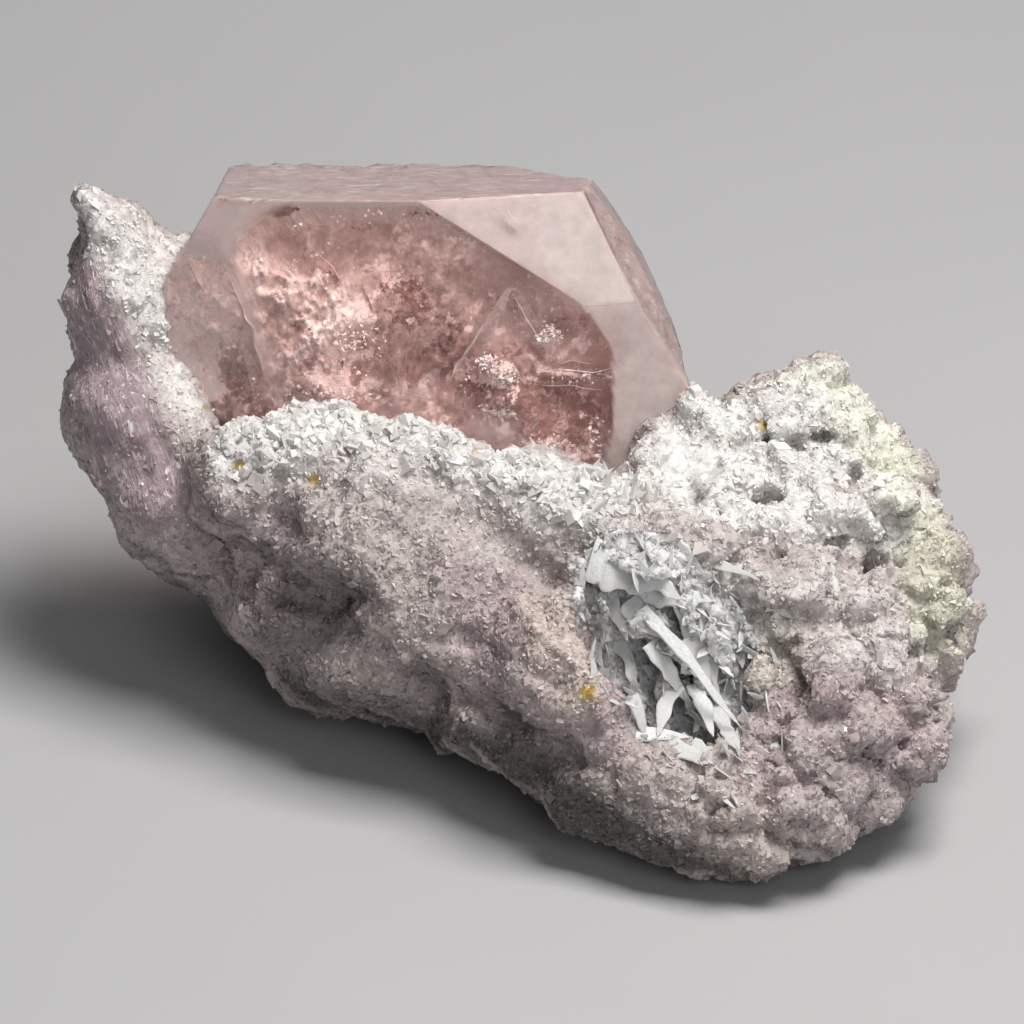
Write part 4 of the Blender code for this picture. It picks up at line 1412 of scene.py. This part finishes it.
def ribbon(pixels, depth, width, salt):
    """A thin healed crack seen edge on: a strip along a line of picture pixels at a
    depth behind the front face, with its width thinned to both ends as sin(πs)."""
    line = seen(pixels)
    lengths = np.concatenate(((0.0,), np.cumsum(np.hypot(*np.diff(line, axis=0).T))))
    share = np.linspace(0.0, 1.0, RIBBON_STEPS)
    where = share * lengths[-1]
    flat = np.column_stack([np.interp(where, lengths, line[:, k]) for k in range(2)])
    solid = np.column_stack((flat, np.full(RIBBON_STEPS, float(salt))))
    flat = flat + 0.25 * np.column_stack([waves(solid, 1.6, salt + k) for k in range(2)])
    way = unit(np.gradient(flat, axis=0))
    half = 0.5 * width * np.sin(np.pi * np.clip(share, 0.04, 0.96))
    half = (half * (1.0 + 0.5 * waves(solid, 0.8, salt + 2)))[:, None]
    normal = np.column_stack((-way[:, 1], way[:, 0]))
    edges = np.stack((flat - normal * half, flat + normal * half), axis=1).reshape(-1, 2)
    deep = np.repeat(depth + 0.4 * waves(solid, 3.0, salt + 3), 2)
    deep[1::2] += 0.5
    index = np.arange(RIBBON_STEPS - 1)[:, None] * 2
    return in_crystal(edges, deep), np.hstack((index, index + 1, index + 3, index + 2))


def build_ribbons(material):
    """The fine bright lines inside: a fan of them and the single ones, as one piece."""
    rows = [((FAN_FOOT, tip), FAN_DEPTH, FAN_WIDTH) for tip in FAN_TIPS]
    rows += BRIGHT_LINES
    points, faces = joined([ribbon(*row, 500 + 5 * k) for k, row in enumerate(rows)])
    mesh = new_mesh("fine_lines", to_row(points), faces)
    new_piece("fine_lines", mesh, material)


def deep_material(settings):
    """The salmon depth of the crystal: patches that half hide what lies behind."""
    recipe = Recipe("deep_patches")
    patch = recipe.noise(6.0, 4.0, 0.65)
    share = patch.between(0.42, 0.62)
    colour = recipe.mix(settings.salmon, settings.depth, share)
    alpha = recipe.attribute("fade") * (share * 0.3 + 0.6)
    return recipe.finish(recipe.surface(colour, 0.6, Alpha=alpha))


# Colour of the main veil's painted silvery sheen: near white, in place of the reflection of its
# foil
PAINTED_SILVER_SHEEN = (0.99, 0.93, 0.91)


def main_veil_material(settings):
    """The main veil: salmon between torn pale and dark places and a painted silvery sheen."""
    recipe = Recipe("main_veil")
    fine = recipe.noise(0.7, 3.0, 0.7)
    torn = (recipe.noise(1.0, 6.0, 0.8) - 0.5) * 2.6
    along = recipe.stretched(STREAK_TURN, (5.0, 1.0, 1.0))
    streak = recipe.noise(0.3, 3.0, 0.7, place=along)
    # Painted sheen: near-white colour where the veil's foil would reflect light, with a little
    # real gloss
    painted_silver_sheen = recipe.attribute("painted_silver_sheen") * streak.between(0.46, 0.53)
    pale = (recipe.attribute("pale") + torn).between(0.42, 0.6)
    dark = (recipe.attribute("dark") - torn).between(0.45, 0.72)
    colour = recipe.layers(
        settings.salmon, (settings.depth, dark), (settings.veil, pale), (PAINTED_SILVER_SHEEN, painted_silver_sheen))
    normal = recipe.bump(fine, 0.25, recipe.tilted(0.6, 0.5))
    cover = recipe.attribute("cover") * (fine * 0.4 + 0.7) + painted_silver_sheen * 0.5 + pale * 0.3
    return recipe.finish(recipe.surface(
        colour, 0.55 - painted_silver_sheen * 0.25, Metallic=painted_silver_sheen * 0.12,
        Alpha=cover.between(0.0, 1.0), Normal=normal))


def veil_material(settings):
    """Thin pale veils: torn sheets with fine streaks."""
    recipe = Recipe("pale_veils")
    torn = recipe.noise(1.6, 4.0, 0.7)
    alpha = recipe.attribute("fade") * (torn.between(0.4, 0.6) * 0.3 + 0.22)
    return recipe.finish(recipe.surface(
        settings.veil, 0.25, Alpha=alpha, Normal=recipe.bump(torn, 0.5)))


# White growths and dark specks inside: pixel, depth, half width and half height of each
# cloud in mm, and the count of its crystals
CLOUDS = (
    ((488, 362), 2.5, 1.2, 1.0, 240), ((505, 374), 2.8, 1.7, 0.8, 240),
    ((550, 333), 2.5, 1.2, 1.3, 200), ((500, 412), 3.0, 3.0, 0.9, 70),
    ((545, 442), 2.5, 3.0, 1.0, 60), ((480, 385), 5.0, 3.0, 2.0, 60),
    ((355, 335), 2.5, 3.2, 3.8, 130), ((585, 375), 4.0, 4.0, 1.0, 60),
    ((430, 280), 6.0, 9.0, 5.0, 130), ((315, 285), 4.0, 5.0, 5.0, 70),
    ((330, 392), 3.0, 7.0, 1.6, 160), ((600, 440), 2.5, 2.0, 2.5, 40),
    ((240, 395), 2.0, 3.0, 2.0, 90), ((195, 300), 2.0, 3.0, 6.0, 90),
    ((530, 300), 5.0, 5.0, 4.0, 80), ((375, 215), 1.5, 8.0, 1.4, 40),
)
SPECKS = (
    ((288, 206), 0.8, 1.0, 0.5, 50), ((240, 375), 2.0, 2.6, 4.0, 200),
    ((343, 363), 3.0, 0.6, 0.7, 50), ((425, 212), 1.2, 3.0, 0.8, 60),
    ((210, 300), 2.0, 3.0, 5.0, 110), ((540, 420), 5.0, 6.0, 3.0, 90),
)


def cluster(rows, size, draw):
    """Tiny crystals scattered in lens-like clouds: normal random offsets in three
    directions about each cloud's middle, all as chunks in one array."""
    places = []
    for pixel, depth, half_width, half_height, count in rows:
        offset = draw.normal(size=(count, 3)) * (half_width, half_height, 1.0) * 0.5
        flat = seen([pixel]) + offset[:, :2]
        places.append(in_crystal(flat, np.maximum(depth + offset[:, 2], 0.5)))
    place = to_row(np.vstack(places))
    place = place[crystal_gap(place / MM) < -0.4]
    count = len(place)
    frames = turned_frames(draw.normal(size=(count, 3)), 1.0, draw)
    sizes = random_sizes(size, 0.45, np.inf, count, draw)
    sizes = sizes * draw.uniform(0.3, 0.8, size=(count, 3))
    return scatter(PYRAMID, place, frames, sizes, 0.3, draw)


# The seed, the middle sizes and the pairs of colours of the growths and the specks
INCLUSION_SEED = 21
GROWTH_SIZE = 0.26 * MM
SPECK_SIZE = 0.15 * MM
GROWTH_COLOURS = ((0.99, 0.92, 0.90), (0.96, 0.80, 0.77))
SPECK_COLOURS = ((0.30, 0.13, 0.11), (0.16, 0.08, 0.07))


def build_inclusions(settings):
    """What the crystal holds: deep patches, veils, fine lines, growths and specks."""
    draw = np.random.RandomState(INCLUSION_SEED)
    build_sheets("deep_patches", DEEP_SHEETS, deep_material(settings))
    new_piece("main_veil", main_veil(), main_veil_material(settings))
    build_sheets("pale_veils", PALE_SHEETS, veil_material(settings))
    recipe = Recipe("white_growths")
    colour = recipe.mix(*GROWTH_COLOURS, recipe.noise(1.5))
    white = recipe.finish(recipe.surface(
        colour, 0.4, Normal=recipe.bump(recipe.noise(0.3), 0.05)))
    build_ribbons(white)
    recipe = Recipe("dark_specks")
    colour = recipe.mix(*SPECK_COLOURS, recipe.noise(1.0))
    brown = recipe.finish(recipe.surface(colour, 0.5))
    for name, clouds, size, material in (("white_growths", CLOUDS, GROWTH_SIZE, white),
                                         ("dark_specks", SPECKS, SPECK_SIZE, brown)):
        mesh = new_mesh(name, *cluster(clouds, size, draw))
        new_piece(name, mesh, material)


# Blades of the hollow: pixels of the root and the tip, width in mm, how far the root and
# the tip stand above what lies under them in mm, and the lean of the face in degrees
BLADES = (
    ((588, 566), (684, 592), 5.6, 1.3, 1.68, 8), ((630, 580), (712, 602), 4.4, 1.0, 1.82, 12),
    ((642, 608), (741, 727), 2.0, 0.0, 1.12, 10),
    ((680, 606), (691, 658), 1.7, -0.2, 1.26, -10),
    ((688, 636), (724, 702), 3.6, 0.1, 1.26, 20), ((630, 696), (645, 736), 2.2, -0.2, 0.56, 20),
    ((674, 686), (657, 736), 2.6, 0.0, 0.7, -25), ((696, 684), (714, 736), 2.4, 0.0, 0.84, 15),
    ((690, 745), (757, 773), 3.4, -0.4, 0.28, 25), ((766, 607), (806, 619), 1.2, -0.4, 0.56, 0),
    ((716, 563), (760, 579), 1.2, -0.4, 0.56, 10),
    ((704, 608), (718, 692), 2.8, -0.2, 0.98, 30),
    ((636, 730), (690, 738), 2.6, -0.2, 0.42, 40),
    ((612, 600), (628, 640), 2.4, -0.2, 0.84, -35),
    ((676, 545), (706, 575), 2.6, -0.4, 0.63, -30),
    ((652, 640), (688, 704), 3.4, 0.2, 0.98, 40), ((620, 640), (640, 692), 2.6, 0.0, 0.7, 30),
    ((712, 700), (740, 752), 2.8, -0.2, 0.63, 20),
    ((660, 742), (712, 764), 2.8, -0.4, 0.35, 30), ((634, 596), (668, 640), 4.4, 1.1, 1.26, 10),
    ((600, 590), (622, 606), 2.2, -0.2, 0.56, 40),
    ((718, 640), (742, 664), 1.8, -0.2, 0.7, -20),
)

# The blades' seed, and the sections along a large and a small blade
BLADE_SEED = 31
BLADE_RINGS = 22
SMALL_BLADE_RINGS = 9

# A blade's section: six corners as shares of its half width and half thickness
SECTION = np.array(((1, 0), (0.82, 1), (-0.82, 1), (-1, 0), (-0.82, -1), (0.82, -1)))

# The hollow's middle in pixels, the display directions of its length and width, half of
# each in mm, and the distance between its crust's points in mm
HOLLOW_MIDDLE = (672.0, 656.0)
HOLLOW_LONG = np.array((0.47, -0.88))
HOLLOW_ACROSS = np.array((0.88, 0.47))
HOLLOW_HALF = (16.5, 9.5)
CRUST_SPACING = 0.4


def blade_grid(root, tip, side, width, thickness, salt, rings):
    """One blade: a flat six-cornered section carried along a slightly bent line. The
    half width falls from the root to a ragged tip, by (1 - s⁸)·(1 - 0.62·s) with noise,
    and the thickness thins toward the tip."""
    share = np.linspace(0.0, 1.0, rings)
    length = np.linalg.norm(tip - root)
    along = unit(tip - root)
    side = unit(side - along * (side @ along))
    out = np.cross(along, side)
    turn = cell_random(np.array([[salt, 1, 2]]), 3) - 0.5
    bend = 0.05 * length * turn * np.sin(np.pi * share)
    line = root + along * length * share[:, None] + out * bend[:, None]
    still = np.zeros(rings)
    ragged = waves(np.column_stack((share * length, still, still)) + salt, 0.9, 300)
    half = 0.5 * width * (1.0 - share ** 8) * (1.0 - 0.62 * share)
    half = np.maximum(half * (1.0 + 0.3 * ragged), 0.03)
    thick = 0.5 * thickness * (1.0 - 0.65 * share)
    sway = waves(np.column_stack((share * 3, share, share)) + salt, 1.0, 301)
    sideways = SECTION[:, 0] * half[:, None] + 0.18 * width * sway[:, None]
    outward = SECTION[:, 1] * thick[:, None]
    rim = line[:, None] + side * sideways[..., None] + out * outward[..., None]
    corners = len(SECTION)
    index = np.arange(rings * corners).reshape(rings, corners)
    after = np.roll(index, -1, axis=1)
    body = np.stack((index[:-1], index[1:], after[1:], after[:-1]), axis=-1).reshape(-1, 4)
    caps = np.array(((0, 1, 2, 3), (0, 3, 4, 5)))
    return rim.reshape(-1, 3), np.vstack((body, caps, index[-1, 0] + caps[:, ::-1]))


# Other tones of the blades, and the crust's two colours
PALE_BLADE = (0.75, 0.76, 0.735)
COOL_BLADE = (0.55, 0.63, 0.60)
CRUST_COLOURS = ((0.84, 0.86, 0.84), (0.88, 0.86, 0.845))


def blade_material(settings):
    """Thin albite: pale, cool, satin and a little see-through, its faces uneven."""
    recipe = Recipe("cleavelandite")
    patch = recipe.noise(3.0, 4.0, 0.6)
    colour = recipe.layers(
        settings.colour, (PALE_BLADE, patch.between(0.4, 0.7)),
        (COOL_BLADE, recipe.noise(1.2).between(0.55, 0.8) * 0.35))
    height = recipe.noise(0.5, 4.0, 0.6) + recipe.noise(2.0) * 0.5
    return recipe.finish(recipe.surface(
        colour, 0.34 + (patch - 0.5) * 0.3, Normal=recipe.bump(height, 0.12),
        Subsurface_Weight=0.5, Subsurface_Radius=(0.8, 1.0, 0.95),
        Subsurface_Scale=1.5 * MM, Specular_IOR_Level=0.6))


def crust_material():
    """The albite between the blades: sugary, leaned a random way on each fine cell."""
    recipe = Recipe("albite_crust")
    fine = recipe.noise(1.2, 3.0, 0.65)
    colour = recipe.mix(*CRUST_COLOURS, fine.between(0.4, 0.6))
    normal = recipe.tilted(0.36, 0.3, recipe.tilted(0.7, 0.55))
    return recipe.finish(recipe.surface(
        colour, 0.5 + (fine - 0.5) * 0.4, Normal=normal, Subsurface_Weight=0.8,
        Subsurface_Radius=(0.95, 1.0, 0.98), Subsurface_Scale=2.5 * MM))


def hollow_place(points):
    """Where each place is in the hollow, seen from the front: how far along its length
    from its middle in mm, and how far out, 0 at its middle and 1 on an ellipse round it."""
    flat = to_display(points)[:, :2] - seen([HOLLOW_MIDDLE])
    along = flat @ HOLLOW_LONG
    return along, np.hypot(along / HOLLOW_HALF[0], flat @ HOLLOW_ACROSS / HOLLOW_HALF[1])


def stand(ground, pixel, rise):
    """The display place over a pixel that rises by so much above the ground there: above
    the 70th percentile of its front 3 mm within 0.7 mm of the pixel."""
    near = ground[np.hypot(*(ground[:, :2] - seen([pixel])).T) < 0.7, 2]
    level = np.percentile(near[near > near.max() - 3.0], 70)
    return np.array((*seen([pixel])[0], rise + level))


def small_blades(mesh, count, weights, draw):
    """Blades that stand on a mesh where it faces the viewer: the roots just inside it,
    the tips out along its normal and leaned along the hollow's length. Gives the root,
    the tip, the side, the width in mm and the share of the full thickness of each."""
    facing = smooth(read_normals(mesh) @ AXES[2], 0.1, 0.6)
    spots, normals, _ = spread(mesh, count, facing * weights, draw)
    rows = []
    for spot, out in zip(to_display(spots), normals @ AXES.T):
        turn = HOLLOW_LONG * draw.choice((-0.9, 0.9)) + draw.normal(size=2) * 0.45
        length = draw.uniform(1.0, 3.6)
        root = spot - 0.4 * out
        tip = root + length * (0.4 * out + np.array((*(0.6 * turn), 0.15)))
        side = draw.normal(size=3)
        rows.append((root, tip, side, draw.uniform(0.6, 2.0), draw.uniform(0.4, 0.8)))
    return rows


def build_crust(count, draw):
    """The hollow's crust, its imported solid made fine, roughened and sunk toward its rim,
    most of all above, and the small crystals on it. Gives the crust's mesh."""
    crust = fine_skin(BLADES_NODE, "crust_base", CRUST_SPACING * MM, 2)
    points = read_points(crust)
    place = points / MM
    near, own, tilt = grit(place, 1.2, 320)
    height = 0.5 * (0.5 - near) * own + 0.9 * tilt + 1.3 * (lumps(place, 2.6, 321) - 0.6)
    along, reach = hollow_place(points)
    upper = 1.0 - smooth(along, -6.0, 4.0)
    sunk = (0.8 + 3.4 * upper) * smooth(reach, 0.65, 1.0) - 1.7
    moved = read_normals(crust) * height[:, None] - AXES[2] * sunk[:, None]
    write_points(crust, points + moved * MM)
    crust.shade_smooth()
    sugary = crust_material()
    new_piece("cleavelandite_crust", crust, sugary, BLADES_NODE)

    facing = smooth(read_normals(crust) @ AXES[2], 0.0, 0.5)
    spots, normals, _ = spread(crust, count, facing, draw)
    sizes = random_sizes(0.42 * MM, 0.45, np.inf, count, draw)
    sizes = sizes * draw.uniform(0.4, 0.8, size=(count, 3))
    frames = turned_frames(normals, 0.6, draw)
    mesh = new_mesh("cleavelandite_grains",
                    *scatter(PYRAMID, spots, frames, sizes, 0.25, draw))
    new_piece("cleavelandite_grains", mesh, sugary)
    return crust


def build_blades(settings):
    """The hollow: its crust, the large blades over it, and small blades on the crust and
    on the rock round it."""
    draw = np.random.RandomState(BLADE_SEED)
    crust = build_crust(settings.grains, draw)
    rock = bpy.data.objects["matrix_rock"].data
    ground = np.vstack([to_display(read_points(made)) for made in (rock, crust)])
    toward = np.array((0.0, 0.0, 1.0))
    rows = []
    for root, tip, width, root_rise, tip_rise, lean in BLADES:
        start = stand(ground, root, root_rise)
        end = stand(ground, tip, tip_rise)
        side = unit(np.cross(end - start, toward)) * cos(radians(lean))
        rows.append((start, end, side + toward * sin(radians(lean)), width, 1.0))
    count = settings.small_blades
    rows += small_blades(crust, count, np.ones(len(crust.vertices)), draw)
    reach = hollow_place(read_points(rock))[1]
    beside = smooth(reach, 0.7, 0.9) * (1.0 - smooth(reach, 1.0, 1.3))
    rows += small_blades(rock, count // 3, beside, draw)
    blades = []
    for number, (start, end, side, width, share) in enumerate(rows):
        rings = BLADE_RINGS if number < len(BLADES) else SMALL_BLADE_RINGS
        thickness = settings.thickness / MM * share
        blades.append(blade_grid(start, end, side, width, thickness, number * 7.3, rings))
    points, faces = joined(blades)
    mesh = new_mesh("cleavelandite_fine_blades", to_row(points), faces)
    mesh.shade_smooth()
    mesh.set_sharp_from_angle(angle=radians(28.0))
    material = blade_material(settings)
    new_piece("cleavelandite_fine_blades", mesh, material)


# Half the floor's side in metres, and what the lights are aimed at
FLOOR_REACH = 3.0
LAMP_TARGET = (0.0, 0.0, 0.03)

# The soft lights: place and side in metres, and colour
LIGHTS = {
    "key": ((0.20, -0.08, 0.75), 0.36, (1.0, 0.98, 0.96)),
    "fill": ((0.22, -0.68, 0.42), 0.34, (0.97, 0.98, 1.0)),
}
SKY_COLOUR = (0.96, 0.97, 1.0, 1.0)

# Cycles settings: fewer light paths than usual, which keeps the time short
RENDERING = {
    "use_denoising": True, "adaptive_threshold": 0.1, "max_bounces": 6,
    "diffuse_bounces": 2, "glossy_bounces": 3, "transmission_bounces": 6,
    "transparent_max_bounces": 8,
}


def aim(thing, place, target):
    """Sets a light or a camera in a place, looking at a target."""
    way = Vector(target) - Vector(place)
    thing.location = place
    thing.rotation_euler = way.to_track_quat("-Z", "Y").to_euler()


def soft_light(name, power):
    place, side, colour = LIGHTS[name]
    light = bpy.data.lights.new(name, "AREA")
    light.shape = "RECTANGLE"
    light.size = light.size_y = side
    light.energy = power
    light.color = colour
    lamp = new_object(name, light)
    aim(lamp, place, LAMP_TARGET)
    lamp.visible_camera = False


def build_stage(settings):
    """A pale floor, two soft lights, an even surround and the camera, which frames what
    the reference picture shows."""
    scene = bpy.context.scene
    recipe = Recipe("pale_floor")
    darker = tuple(part * 0.94 for part in settings.floor)
    colour = recipe.mix(settings.floor, darker, recipe.noise(60.0, 2.0))
    corners = [(x * FLOOR_REACH, y * FLOOR_REACH, 0.0)
               for x, y in ((-1, -1), (1, -1), (1, 1), (-1, 1))]
    mesh = new_mesh("floor", corners, [(0, 1, 2, 3)])
    mesh.materials.append(recipe.finish(recipe.surface(colour, 0.7)))
    new_object("floor", mesh)

    soft_light("key", settings.key)
    soft_light("fill", settings.fill)
    world = bpy.data.worlds.new("surround")
    world.use_nodes = True
    shade = world.node_tree.nodes["Background"].inputs
    shade[0].default_value = SKY_COLOUR
    shade[1].default_value = settings.sky
    scene.world = world

    lens = bpy.data.cameras.new("camera")
    width = PICTURE_SIDE / PIXELS_PER_MM * MM
    lens.lens = lens.sensor_width * settings.distance / width
    camera = new_object("camera", lens)
    half = PICTURE_SIDE / 2.0
    centre = to_row(np.array((*seen([(half, half)])[0], 0.0)))
    aim(camera, tuple(centre + AXES[2] * settings.distance), tuple(centre))
    scene.camera = camera
    scene.view_settings.view_transform = "Standard"
    for name, value in RENDERING.items():
        setattr(scene.cycles, name, value)


class Step:
    """What every operator below shares: it makes pieces from the scene's settings."""

    def execute(self, context):
        self.make(context.scene)
        return {"FINISHED"}


class MORGANITE_OT_stage(Step, bpy.types.Operator):
    """Makes the floor, the lights and the camera"""
    bl_idname = "morganite.stage"
    bl_label = "Stage"

    def make(self, scene):
        build_stage(scene.morganite_stage)


class MORGANITE_OT_rock(Step, bpy.types.Operator):
    """Makes the matrix rock's fine skin and its material"""
    bl_idname = "morganite.rock"
    bl_label = "Matrix rock"

    def make(self, scene):
        build_rock(scene.morganite_rock)


class MORGANITE_OT_grains(Step, bpy.types.Operator):
    """Spreads albite grains and mica flakes over the rock"""
    bl_idname = "morganite.grains"
    bl_label = "Grains and flakes"

    def make(self, scene):
        build_grains(scene.morganite_grains, scene.morganite_rock)


class MORGANITE_OT_crystal(Step, bpy.types.Operator):
    """Makes the crystal with its softened edges, chips and frosted faces"""
    bl_idname = "morganite.crystal"
    bl_label = "Crystal"

    def make(self, scene):
        build_crystal(scene.morganite_crystal)


class MORGANITE_OT_inclusions(Step, bpy.types.Operator):
    """Makes the veils, white growths and specks inside the crystal"""
    bl_idname = "morganite.inclusions"
    bl_label = "Inside the crystal"

    def make(self, scene):
        build_inclusions(scene.morganite_crystal)


class MORGANITE_OT_blades(Step, bpy.types.Operator):
    """Makes the crust and the thin blades of the hollow"""
    bl_idname = "morganite.blades"
    bl_label = "Blades"

    def make(self, scene):
        build_blades(scene.morganite_blades)


OPERATORS = (
    MORGANITE_OT_stage, MORGANITE_OT_rock, MORGANITE_OT_grains, MORGANITE_OT_crystal,
    MORGANITE_OT_inclusions, MORGANITE_OT_blades,
)
SETTINGS = {
    "morganite_stage": StageSettings, "morganite_rock": RockSettings,
    "morganite_grains": GrainSettings, "morganite_crystal": CrystalSettings,
    "morganite_blades": BladeSettings,
}


class MORGANITE_PT_pieces(bpy.types.Panel):
    """The specimen's pieces, in the order in which they are made"""
    bl_idname = "MORGANITE_PT_pieces"
    bl_label = "Morganite on matrix"
    bl_space_type = "VIEW_3D"
    bl_region_type = "UI"
    bl_category = "Morganite"

    def draw(self, context):
        for operator in OPERATORS:
            self.layout.operator(operator.bl_idname)


def register():
    for name, group in SETTINGS.items():
        bpy.utils.register_class(group)
        setattr(bpy.types.Scene, name, PointerProperty(type=group))
    for made in (*OPERATORS, MORGANITE_PT_pieces):
        bpy.utils.register_class(made)


def unregister():
    for made in (MORGANITE_PT_pieces, *reversed(OPERATORS)):
        bpy.utils.unregister_class(made)
    for name, group in SETTINGS.items():
        delattr(bpy.types.Scene, name)
        bpy.utils.unregister_class(group)


def main():
    register()
    for operator in OPERATORS:
        getattr(bpy.ops.morganite, operator.bl_idname.split(".")[1])()
    bpy.context.view_layer.update()


if __name__ == "__main__":
    main()
